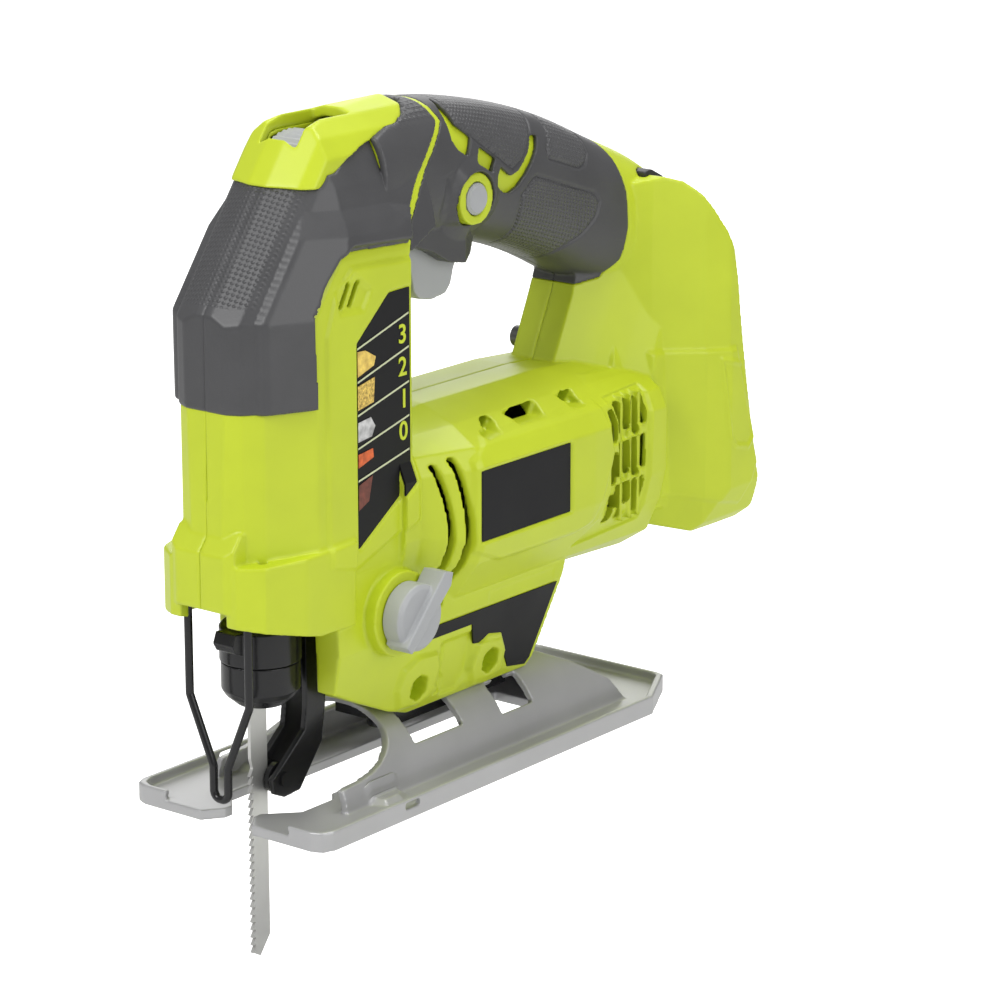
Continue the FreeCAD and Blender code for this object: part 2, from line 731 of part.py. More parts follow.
CORE = "(motor_front - 11)"
turned("armature", "XZ_Plane", [
    (f"{BACK} - 3", 0), (f"{BACK} - 3", "shaft_radius"), (f"{BACK} + 7", "shaft_radius"),
    (f"{BACK} + 7", 7),
    (f"{BACK} + 14", 7), (f"{BACK} + 14", 5), (f"{CORE} - armature_length", 5),
    (f"{CORE} - armature_length", "armature_radius"), (CORE, "armature_radius"), (CORE, 5),
    (f"{CORE} + 3", 5), (f"{CORE} + 3", "shaft_radius"),
    ("gear_front + 2", "shaft_radius"), ("gear_front + 2", 0),
], "H_Axis", LIFT)

magnets = new_body("motor_magnets")
magnets.setExpression("Placement.Base.z", tied("motor_z"))
rings = new_sketch(magnets, "YZ_Plane", f"{CORE} - armature_length - 2")
circle(rings, 0, 0, "can_radius - can_wall - 0.03")
circle(rings, 0, 0, "can_radius - can_wall - magnet_wall")
feature(magnets, "Pad", rings, Length="armature_length + 3")
gap = new_sketch(magnets, "YZ_Plane", f"{CORE} - armature_length - 2")
outline(gap, rectangle(-5, 5, "-can_radius", "can_radius"))
cut(magnets, gap, Length="armature_length + 3")

brushes = new_body("brush_ring")
brushes.setExpression("Placement.Base.z", tied("motor_z"))
ring = new_sketch(brushes, "YZ_Plane", f"{BACK} + 8")
circle(ring, 0, 0, "can_radius - can_wall - 0.03")
circle(ring, 0, 0, 10)
feature(brushes, "Pad", ring, Length=5)
carbon = new_sketch(brushes, "YZ_Plane", f"{BACK} + 8.5")
outline(carbon, rectangle(7.3, 14, -2.5, 2.5))
outline(carbon, rectangle(-14, -7.3, -2.5, 2.5))
feature(brushes, "Pad", carbon, Length=4)

fan = new_body("cooling_fan")
fan.setExpression("Placement.Base.z", tied("motor_z"))
FAN = "(motor_front + 3)"
plate = new_sketch(fan, "YZ_Plane", FAN)
circle(plate, 0, 0, "fan_radius")
circle(plate, 0, 0, "shaft_radius")
feature(fan, "Pad", plate, Length=1.5)
hub = new_sketch(fan, "YZ_Plane", FAN)
circle(hub, 0, 0, "shaft_radius + 3")
circle(hub, 0, 0, "shaft_radius")
feature(fan, "Pad", hub, Length="fan_width")
blade = new_sketch(fan, "YZ_Plane", FAN)
outline(blade, [(7, 0), (7, 1.4), ("fan_radius - 1", 4.4), ("fan_radius - 1", 3)])
vane = feature(fan, "Pad", blade, Length="fan_width")
doc.recompute()
vanes = fan.newObject("PartDesign::PolarPattern", "Vanes")
vanes.Originals = [vane]
vanes.Axis = (origin_plane(fan, "X_Axis"), [""])
vanes.Occurrences = 11
fan.Tip = vanes


# ---- gear train ----

def toothed_disc(teeth, width, thinner):
    """An involute spur wheel about X, its first tooth on +Y, back face at x = 0."""
    module = s["tooth_module"]
    pressure = math.radians(s["pressure_angle"])
    pitch = module * teeth / 2
    base = pitch * math.cos(pressure)
    tip = pitch + module
    root = pitch - 1.2 * module
    half = math.pi / (2 * teeth) - thinner / (2 * pitch) + math.tan(pressure) - pressure

    def flank(radius):
        slope = math.acos(min(1.0, base / max(radius, base)))
        return half - (math.tan(slope) - slope)

    radii = [root] + [max(base, root) + (tip - max(base, root)) * k / 4 for k in range(5)]
    points = []
    for tooth in range(int(teeth)):
        turn = 2 * math.pi * tooth / teeth
        for radius in radii:
            angle = turn - flank(radius)
            points.append(V(0, radius * math.cos(angle), radius * math.sin(angle)))
        for radius in reversed(radii):
            angle = turn + flank(radius)
            points.append(V(0, radius * math.cos(angle), radius * math.sin(angle)))
    return Part.Face(Part.makePolygon(points + points[:1])).extrude(V(width, 0, 0))


gear_back = s["gear_front"] - s["gear_width"]
pinion = toothed_disc(s["pinion_teeth"], s["gear_width"] + 2, s["backlash"])
pinion = pinion.cut(pipe("x", s["shaft_radius"], -1, 20, 0, 0))
pinion.translate(V(gear_back - 1, 0, pinion_z))
pinion.rotate(V(0, 0, pinion_z), AXES["x"], 90 - 180 / s["pinion_teeth"])
hold("pinion", pinion)

wheel = toothed_disc(s["gear_teeth"], s["gear_width"], s["backlash"])
wheel.rotate(V(0, 0, 0), AXES["x"], -90)
pin_y = s["crank_radius"] * math.cos(math.radians(s["crank_angle"]))
pin_z = s["crank_radius"] * math.sin(math.radians(s["crank_angle"]))
pin_length = s["yoke_back"] - 0.3 - s["gear_front"]
wheel = wheel.fuse([
    Part.makeCylinder(s["crank_pin_radius"], pin_length, V(s["gear_width"], pin_y, pin_z), AXES["x"]),
    Part.makeCylinder(s["axle_radius"] + 3, 2.5, V(-2.5, 0, 0), AXES["x"]),
])
wheel = wheel.cut(pipe("x", s["axle_radius"] + s["running_gap"], -5, 30, 0, 0))
for turn in (100, 160, 220, 280, 340):
    angle = math.radians(turn + s["crank_angle"])
    wheel = wheel.cut(pipe("x", 3.0, -5, 30, 12 * math.cos(angle), 12 * math.sin(angle)))
wheel.translate(V(gear_back, 0, gear_z))
hold("main_gear", wheel)

GEAR_Z = "(motor_z + tooth_module * (pinion_teeth + gear_teeth) / 2)"
turned("gear_axle", "XZ_Plane", [
    (PLATE_BACK, 0), (PLATE_BACK, "axle_radius"), ("gear_front + 0.3", "axle_radius"),
    ("gear_front + 0.3", "axle_radius + 1.4"), ("gear_front + 1.5", "axle_radius + 1.4"),
    ("gear_front + 1.5", 0),
], "H_Axis", {"z": GEAR_Z})

plate = new_body("gear_plate")
face = new_sketch(plate, "YZ_Plane", PLATE_BACK)
outline(face, [
    (-14, 75.5), (14, 75.5), ("nose_half - wall - 0.3", 84), ("nose_half - wall - 0.3", 132),
    (14, 140), (-14, 140),
    ("-nose_half + wall + 0.3", 132), ("-nose_half + wall + 0.3", 84),
])
feature(plate, "Pad", face, Length="plate_width")
holes = new_sketch(plate, "YZ_Plane", f"{PLATE_BACK} + plate_width")
circle(holes, 0, "motor_z", "bearing_radius")
circle(holes, 0, GEAR_Z, "axle_radius")
cut(plate, holes, Length="plate_width")


# ---- plunger, bushes, blade clamp and blade ----

YOKE_Z = f"({GEAR_Z} + crank_radius * sin(crank_angle))"
rod = new_body("plunger_rod")
bar = new_sketch(rod, "XY_Plane", "clamp_top - 3")
circle(bar, "plunger_x", 0, "rod_radius")
feature(rod, "Pad", bar, Length="rod_top - clamp_top + 3")
frame = new_sketch(rod, "YZ_Plane", "yoke_back")
yoke_span = (f"{YOKE_Z} - yoke_height / 2", f"{YOKE_Z} + yoke_height / 2")
outline(frame, rectangle("-yoke_half", "yoke_half", *yoke_span))
feature(rod, "Pad", frame, Length="yoke_width")
bridge = new_sketch(rod, "YZ_Plane", "yoke_back + yoke_width - 1")
outline(bridge, rectangle(-5, 5, f"{YOKE_Z} - 6", f"{YOKE_Z} + 6"))
feature(rod, "Pad", bridge, Length="plunger_x - yoke_back - yoke_width + 1")
way = new_sketch(rod, "YZ_Plane", "yoke_back")
REACH = "(crank_radius + crank_pin_radius + 0.6)"
way_span = (f"{YOKE_Z} - crank_pin_radius - 0.15", f"{YOKE_Z} + crank_pin_radius + 0.15")
outline(way, rectangle(f"-{REACH}", REACH, *way_span))
cut(rod, way, Length="yoke_width - 1.5")

for name, low in (("lower_bush", "low_bush_z"), ("upper_bush", "high_bush_z")):
    turned(name, "XZ_Plane", [
        ("rod_radius + running_gap", low), ("bush_radius", low), ("bush_radius", f"{low} + bush_length"),
        ("rod_radius + running_gap", f"{low} + bush_length"),
    ], "V_Axis", {"x": "plunger_x"})

NECK = "(clamp_top - collar_height)"
clamp = turned("clamp_body", "XZ_Plane", [
    (0, "clamp_bottom"), ("clamp_radius - 2.5", "clamp_bottom"), ("clamp_radius + 1", "clamp_bottom + 3"),
    ("clamp_radius + 2.2", "clamp_bottom + 5"), ("clamp_radius + 2.2", f"{NECK} - 0.3"),
    ("clamp_radius - 2", f"{NECK} - 0.3"), ("clamp_radius - 2", "clamp_top"), (0, "clamp_top"),
], "V_Axis", {"x": "plunger_x"})
rod_hole = new_sketch(clamp, "XY_Plane", "clamp_top")
circle(rod_hole, 0, 0, "rod_radius")
cut(clamp, rod_hole, Length=3)
blade_slot = new_sketch(clamp, "XY_Plane", "clamp_bottom")
outline(blade_slot, rectangle(
    "blade_back - plunger_x - 0.1", "blade_back + blade_width - plunger_x + 0.1",
    "-blade_thickness / 2 - 0.05", "blade_thickness / 2 + 0.05",
))
cut(clamp, blade_slot, Length=17)

collar = turned("release_collar", "XZ_Plane", [
    ("clamp_radius - 2 + collar_fit", NECK), ("collar_radius", NECK), ("collar_radius", "clamp_top - 1"),
    ("collar_radius - 1", "clamp_top"), ("clamp_radius - 2 + collar_fit", "clamp_top"),
], "V_Axis", {"x": "plunger_x"})
lever = new_sketch(collar, "XZ_Plane", "-4")
outline(lever, [
    ("collar_radius - 1.5", f"{NECK} + 4"), ("collar_radius + 3", f"{NECK} + 5.5"),
    ("collar_radius + 4.4", "clamp_top - 3.5"), ("collar_radius + 3", "clamp_top"),
    ("collar_radius - 1.5", "clamp_top - 0.5"),
])
feature(collar, "Pad", lever, Length=8)

saw = new_body("saw_blade")
flat = new_sketch(saw, "XZ_Plane")
FACE = "(blade_back + blade_width)"
outline(flat, [
    ("blade_back", "blade_tip + 6"), (0.6, "blade_tip"), (f"{FACE} - 1.4", "blade_tip + 1.2"),
    (f"{FACE} - 1.4", 16), (f"{FACE} - 0.6", 19), (f"{FACE} - 0.6", 34), (f"{FACE} - 1.2", 36),
    (f"{FACE} - 1.2", 52), ("blade_back + 1", 52), ("blade_back + 1", 36), ("blade_back", 34),
])
feature(saw, "Pad", flat, Length="blade_thickness", Midplane=True)
tooth = new_sketch(saw, "XZ_Plane")
outline(tooth, [
    (f"{FACE} - 1.8", "blade_tip + 1.8"), (FACE, "blade_tip + 1.8"), (f"{FACE} - 1.4", "blade_tip + 4"),
    (f"{FACE} - 1.8", "blade_tip + 4"),
])
tooth_pad = feature(saw, "Pad", tooth, Length="blade_thickness", Midplane=True)
doc.recompute()
teeth = saw.newObject("PartDesign::LinearPattern", "Teeth")
teeth.Originals = [tooth_pad]
teeth.Direction = (origin_plane(saw, "Z_Axis"), [""])
teeth.Occurrences = 24
teeth.setExpression("Length", tied("tooth_pitch * 23"))
saw.Tip = teeth


# ---- guide roller, fork, selector ----

roller = turned("guide_roller", "XY_Plane", [
    ("pin_radius + pin_fit", "-roller_width / 2"), ("roller_radius", "-roller_width / 2"),
    ("roller_radius", -1.0), ("roller_groove", -0.8), ("roller_groove", 0.8), ("roller_radius", 1.0),
    ("roller_radius", "roller_width / 2"), ("pin_radius + pin_fit", "roller_width / 2"),
], "V_Axis", {"x": "roller_x", "z": "roller_z"})
turned("roller_pin", "XY_Plane", [
    (0, "-fork_half - 0.8"), (2.3, "-fork_half - 0.8"), (2.3, "-fork_half"), ("pin_radius", "-fork_half"),
    ("pin_radius", "fork_half"), (2.3, "fork_half"), (2.3, "fork_half + 0.8"), (0, "fork_half + 0.8"),
], "V_Axis", {"x": "roller_x", "z": "roller_z"})

fork = new_body("roller_fork")
arm = new_sketch(fork, "XZ_Plane")
outline(arm, [
    (-26.4, 68), (-26.4, 31), (-24.6, 18.5), (-14, "roller_z - 5.4"), ("roller_x", "roller_z - 6"),
    ("roller_x + 4.4", "roller_z - 4"), ("roller_x + 5.6", "roller_z + 1"), (-6, "roller_z + 4.6"),
    (-16.4, 24),
    (-17.4, 31), (-17.4, 68),
])
feature(fork, "Pad", arm, Length="2 * fork_half", Midplane=True)
between = new_sketch(fork, "XZ_Plane")
outline(between, [
    (-24, 34), (-27, 31), (-24.6, 0), (0, 0), (2, 20), (-10, 34), (-17.5, 57), (-24, 57),
])
cut(fork, between, Length="2 * (fork_half - fork_cheek)", Midplane=True)
eyes = new_sketch(fork, "XZ_Plane")
circle(eyes, "fork_pin_x", "fork_pin_z", "pin_radius + pin_fit")
circle(eyes, "roller_x", "roller_z", "pin_radius")
cut(fork, eyes, Length="2 * fork_half + 2", Midplane=True)

turned("fork_pin", "XY_Plane", [
    (0, -18), ("pin_radius", -18), ("pin_radius", 18), (0, 18),
], "V_Axis", {"x": "fork_pin_x", "z": "fork_pin_z"})

turned("selector_shaft", "XY_Plane", [
    (0, -19.5), ("selector_radius", -19.5), ("selector_radius", "knob_seat"), (0, "knob_seat"),
], "V_Axis", {"x": "selector_x", "z": "selector_z"})
knob = turned("selector_knob", "XY_Plane", [
    (0, "knob_seat"), ("knob_radius", "knob_seat"), ("knob_radius", "knob_seat + knob_length - 3"),
    ("knob_radius - 1.5", "knob_seat + knob_length - 2"), (0, "knob_seat + knob_length - 2"),
], "V_Axis", {"x": "selector_x", "z": "selector_z"})
wing = new_sketch(knob, "XZ_Plane", "-knob_seat - knob_length")
outline(wing, [(7, -9.5), (9.5, -7), (-9, 13), (-13, 12), (-12, 8)])
feature(knob, "Pad", wing, Length="knob_length - 0.4")


# ---- wire guard ----

def rounded_path(corners, radius):
    """Straight runs joined by tangent arcs of one radius."""
    edges = []
    start = corners[0]
    for before, corner, after in zip(corners, corners[1:], corners[2:]):
        one = (before - corner).normalize()
        two = (after - corner).normalize()
        half = one.getAngle(two) / 2
        reach = radius / math.tan(half)
        enter = corner + one * reach
        leave = corner + two * reach
        middle = corner + (one + two).normalize() * (radius / math.sin(half) - radius)
        edges.append(Part.LineSegment(start, enter).toShape())
        edges.append(Part.Arc(enter, middle, leave).toShape())
        start = leave
    edges.append(Part.LineSegment(start, corners[-1]).toShape())
    return Part.Wire(edges)


def guard_corners():
    x = s["guard_x"]
    half = s["guard_half"]
    foot_half = s["guard_foot_half"]
    leg = [(half, 86), (half, 41), (foot_half, 20), (foot_half, s["guard_foot"])]
    return [V(x, y, z) for y, z in leg] + [V(x, -y, z) for y, z in reversed(leg)]


guard_path = rounded_path(guard_corners(), 2.6)
wire_top = V(s["guard_x"], s["guard_half"], 86)
wire_end = Part.Wire([Part.Circle(wire_top, AXES["z"], s["guard_wire"]).toShape()])
hold("wire_guard", guard_path.makePipeShell([wire_end], True, True))


# ---- tilting shoe and its clamp ----

def arch_form(radius, front, drop):
    """A cylinder along X whose back end is cut down to the plate by a ramp."""
    barrel = Part.makeCylinder(radius, front - s["ramp_back"] + 10, V(s["ramp_back"] - 10, 0, 0), AXES["x"])
    start = s["ramp_start"]
    back = s["ramp_back"] + drop
    crest = s["arch_radius"] + 0.1 - drop
    return barrel.cut(prism("y", [
        (start, 40), (start, crest), (start - 18, crest - 8.5), (start - 31, crest - 16.5),
        (back, s["shoe_floor"]),
        (back, -1), (back - 20, -1), (back - 20, 40),
    ], -WIDE, WIDE))


def sector(low, high, x_low, x_high):
    """A wedge of space about the X axis between two angles from straight up."""
    reach = 60.0
    angles = [low + (high - low) * k / 6 for k in range(7)]
    rim = [V(x_low, 0, 0)] + [
        V(x_low, reach * math.sin(math.radians(a)), reach * math.cos(math.radians(a))) for a in angles
    ]
    return Part.Face(Part.makePolygon(rim + rim[:1])).extrude(V(x_high - x_low, 0, 0))


def shoe_outline(inset):
    half = s["shoe_half"] - inset
    front = s["shoe_front"] - inset
    back = s["shoe_back"] + inset
    return sides([
        (front, half - 5), (front - 1.5, half - 1.5), (front - 5, half), (back + 22, half),
        (back + 1, half - 11),
        (back, half - 14),
    ])


shoe = prism("z", shoe_outline(0), 0, s["shoe_rim"])
shoe = shoe.cut(prism("z", shoe_outline(s["rim_width"]), s["shoe_floor"], 20))
outside = arch_form(s["arch_radius"], -10, 0)
inside = arch_form(s["arch_radius"] - s["arch_wall"], 40, s["arch_wall"] + 0.6)
upper = block((-300, -WIDE, 0), (100, WIDE, 100))
lip = block((-300, -WIDE, s["shoe_floor"]), (100, WIDE, 100))
sweep = prism("y", [
    (-10, 10.4), (-20, 11), (-26, 12), (-30.5, 13.4), (-34.5, 15.6), (-37.5, 18), (-39.6, 21), (-40, 25),
    (-38.4, 27.6), (-33, 40), (30, 40), (30, 4), (-3, 4),
], -WIDE, WIDE)
shoe = shoe.fuse(outside.common(upper).cut(sweep))
shoe = shoe.cut(inside.common(lip))
throat = sides([(20, 14.5), (8.5, 5.8), (5.2, 5.8), (-4, 14.5), (-18, 14.5), (-22, 11), (-132, 11)])
shoe = shoe.cut(prism("z", throat, -1, 12))
reach = s["tilt_limit"] + 7.5
for x in bolt_xs:
    slot_half = s["bolt_radius"] + 0.6
    shoe = shoe.cut(sector(-reach, reach, x - slot_half, x + slot_half).common(lip))
for x_low, x_high, low, high in ((-72, -48, 30, 57), (-107, -91, 37, 61)):
    shoe = shoe.cut(sector(low, high, x_low, x_high).common(lip))
    shoe = shoe.cut(sector(-high, -low, x_low, x_high).common(lip))
shoe = shoe.cut(block((-31, -WIDE, 3.2), (-24, WIDE, 5.2)).cut(block((-40, -34, 0), (0, 34, 10))))
hold("shoe", biggest(shoe))

inner = s["arch_radius"] - s["arch_wall"] - s["saddle_gap"]
clamp_low = inner - 7.5
clamp_plate = Part.makeCylinder(inner, s["bolt_pitch"] + 18, V(bolt_xs[1] - 9, 0, 0), AXES["x"])
clamp_plate = clamp_plate.common(block((-200, -12, clamp_low), (0, 12, 40)))
bolts = []
for x in bolt_xs:
    clamp_plate = clamp_plate.cut(pipe("z", s["bolt_radius"] + 0.02, 0, 40, x, 0))
    shank = pipe("z", s["bolt_radius"], clamp_low - 1, 38, x, 0)
    head = pipe("z", s["bolt_radius"] + 2, clamp_low - 4, clamp_low, x, 0)
    bolts.append(shank.fuse(head).cut(pipe("z", 2.2, clamp_low - 6, clamp_low - 1.5, x, 0)))
hold("shoe_clamp", clamp_plate)
hold("shoe_bolts", Part.makeCompound(bolts))


# ---- controls, terminals and screws ----

trigger = padded("trigger", "XZ_Plane", [
    (-63, 172.5), (-65.5, 162), (-67.5, 153), (-70, 150.5), (-76, 149.3), (-83, 150.2), (-85.5, 153),
    (-87, 158),
    (-90, 163), (-90, 170.9), (-97, 170.9), (-97, 175.4), (-88.5, 175.4), (-84, 174), (-66, 174),
], 0, "2 * trigger_half", True)
eye = new_sketch(trigger, "XZ_Plane")
circle(eye, "trigger_pivot_x", "trigger_pivot_z", "pin_radius + pin_fit")
cut(trigger, eye, Length="2 * trigger_half + 2", Midplane=True)
turned("trigger_pin", "XY_Plane", [
    (0, -12.8), ("pin_radius", -12.8), ("pin_radius", 12.8), (0, 12.8),
], "V_Axis", {"x": "trigger_pivot_x", "z": "trigger_pivot_z"})
padded("switch_body", "XZ_Plane", rectangle(-126, -101, 170, 190), 0, 15, True)

END = "(handle_half + 1.2 + lock_proud)"
turned("lock_button", "XY_Plane", [
    (0, f"-{END}"), ("lock_radius - 0.8", f"-{END}"), ("lock_radius", f"-{END} + 0.8"),
    ("lock_radius", f"{END} - 0.8"), ("lock_radius - 0.8", END), (0, END),
], "V_Axis", {"x": "lock_x", "z": "lock_z"})
turned("speed_dial", "XY_Plane", [
    (0, -12), (2, -12), (2, "-dial_half"), ("dial_radius - 1", "-dial_half"),
    ("dial_radius", "-dial_half + 1"),
    ("dial_radius", "dial_half - 1"), ("dial_radius - 1", "dial_half"), (0, "dial_half"),
], "V_Axis", {"x": "dial_x", "z": "dial_z"})
padded("speed_control", "XZ_Plane", rectangle("dial_x - 7", "dial_x + 7", "dial_z - 12.8", "dial_z"),
       "-dial_half - 7", 6.6)

block_shape = tilted(Part.makeBox(12, 30, 40, V(s["socket_depth"] - 12, -15, -20)))
hold("terminal_block", block_shape)
blades = [
    tilted(Part.makeBox(16, 1.2, 10, V(s["socket_depth"] - 28, y - 0.6, -5))) for y in (-9, 0, 9)
]
hold("terminals", Part.makeCompound(blades))

screws = []
for x, z in PILLARS:
    shank = pipe("y", s["screw_radius"], -14, 8, x, z)
    head = pipe("y", 3.5, -17, -14, x, z).cut(pipe("y", 1.4, -18, -15.6, x, z))
    screws.append(shank.fuse(head))
hold("housing_screws", Part.makeCompound(screws))


# ---- check and write ----

doc.recompute()
for item in doc.Objects:
    if {"Invalid", "Error"} & set(item.State):
        raise ValueError(f"{item.Label}: {item.State}")
for name, item in nodes.items():
    if item.Shape.isNull() or not item.Shape.isValid() or not item.Shape.Solids:
        raise ValueError(f"{name}: the shape is not a valid solid")

os.makedirs("parts", exist_ok=True)
for name, item in nodes.items():
    item.Shape.exportStep(f"parts/{name}.step")
    print(name, len(item.Shape.Solids), round(item.Shape.Volume))
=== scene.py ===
import json
from math import radians, sin, cos, pi

import bpy
import numpy as np
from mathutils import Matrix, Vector


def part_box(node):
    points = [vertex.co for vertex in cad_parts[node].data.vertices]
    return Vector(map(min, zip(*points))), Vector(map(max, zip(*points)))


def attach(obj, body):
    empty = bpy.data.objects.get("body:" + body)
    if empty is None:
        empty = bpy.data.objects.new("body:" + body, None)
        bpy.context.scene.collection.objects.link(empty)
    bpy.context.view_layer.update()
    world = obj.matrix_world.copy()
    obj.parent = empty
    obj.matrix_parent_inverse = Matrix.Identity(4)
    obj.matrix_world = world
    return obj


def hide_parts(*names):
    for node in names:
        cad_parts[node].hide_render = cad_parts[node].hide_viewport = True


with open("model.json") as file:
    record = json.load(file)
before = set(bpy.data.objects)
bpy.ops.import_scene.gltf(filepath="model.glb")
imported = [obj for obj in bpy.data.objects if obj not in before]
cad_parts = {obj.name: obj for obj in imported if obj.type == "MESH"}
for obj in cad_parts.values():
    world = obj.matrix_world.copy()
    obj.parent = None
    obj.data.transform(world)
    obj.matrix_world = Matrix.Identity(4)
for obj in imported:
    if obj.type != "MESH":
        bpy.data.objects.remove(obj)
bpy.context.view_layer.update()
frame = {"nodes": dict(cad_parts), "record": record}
nodes = frame["nodes"]
mm = 0.001
print("frame loaded:", len(nodes), "nodes")


# picking things up and putting them down

def clearSelection():
    bpy.ops.object.select_all(action="DESELECT")


def pickUp(piece):
    clearSelection()
    piece.hide_set(False)
    piece.select_set(True)
    bpy.context.view_layer.objects.active = piece
    return piece


def applyAll(piece):
    pickUp(piece)
    for mod in list(piece.modifiers):
        bpy.ops.object.modifier_apply(modifier=mod.name)
    return piece


def layDown(piece):
    # the place goes into the mesh, so the object sits at the origin
    pickUp(piece)
    bpy.ops.object.transform_apply(location=True, rotation=True, scale=True)
    return piece


def paint(piece, finish):
    piece.data.materials.clear()
    piece.data.materials.append(finish)
    return piece


def smoothBy(piece, degrees):
    pickUp(piece)
    bpy.ops.object.shade_smooth_by_angle(angle=radians(degrees))
    return piece


def settle(piece, body, slotName, finish, *stoodFor):
    # last step of every piece: its finish, its body and the nodes it stands for
    paint(piece, finish)
    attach(piece, body)
    if stoodFor:
        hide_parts(*stoodFor)
    return piece


# finishes, all procedural on object coordinates

def newFinish(name, colour, rough, metal=0.0, grain=900, grainDepth=0.02, mottle=60, mottleAmount=0.04,
              roughSpread=0.08, coat=0.0, specular=0.5):
    finish = bpy.data.materials.new(name)
    finish.use_nodes = True
    tree = finish.node_tree
    shader = tree.nodes["Principled BSDF"]
    shader.inputs["Metallic"].default_value = metal
    shader.inputs["Coat Weight"].default_value = coat
    shader.inputs["Specular IOR Level"].default_value = specular
    place = tree.nodes.new("ShaderNodeTexCoord")
    # broad drift of the colour, as pigment and handling give it
    drift = tree.nodes.new("ShaderNodeTexNoise")
    drift.inputs["Scale"].default_value = mottle
    drift.inputs["Detail"].default_value = 3
    tree.links.new(place.outputs["Object"], drift.inputs["Vector"])
    shades = tree.nodes.new("ShaderNodeValToRGB")
    low = [c * (1 - mottleAmount) for c in colour]
    high = [min(1, c * (1 + mottleAmount)) for c in colour]
    shades.color_ramp.elements[0].position = 0.3
    shades.color_ramp.elements[1].position = 0.7
    shades.color_ramp.elements[0].color = (*low, 1)
    shades.color_ramp.elements[1].color = (*high, 1)
    tree.links.new(drift.outputs["Fac"], shades.inputs["Fac"])
    tree.links.new(shades.outputs["Color"], shader.inputs["Base Color"])
    # fine grain from the mould
    fine = tree.nodes.new("ShaderNodeTexNoise")
    fine.inputs["Scale"].default_value = grain
    fine.inputs["Detail"].default_value = 2
    tree.links.new(place.outputs["Object"], fine.inputs["Vector"])
    bump = tree.nodes.new("ShaderNodeBump")
    bump.inputs["Strength"].default_value = 1
    bump.inputs["Distance"].default_value = grainDepth * mm
    tree.links.new(fine.outputs["Fac"], bump.inputs["Height"])
    tree.links.new(bump.outputs["Normal"], shader.inputs["Normal"])
    spread = tree.nodes.new("ShaderNodeMapRange")
    spread.inputs["To Min"].default_value = max(0.02, rough - roughSpread)
    spread.inputs["To Max"].default_value = min(1, rough + roughSpread)
    tree.links.new(drift.outputs["Fac"], spread.inputs["Value"])
    tree.links.new(spread.outputs["Result"], shader.inputs["Roughness"])
    return finish


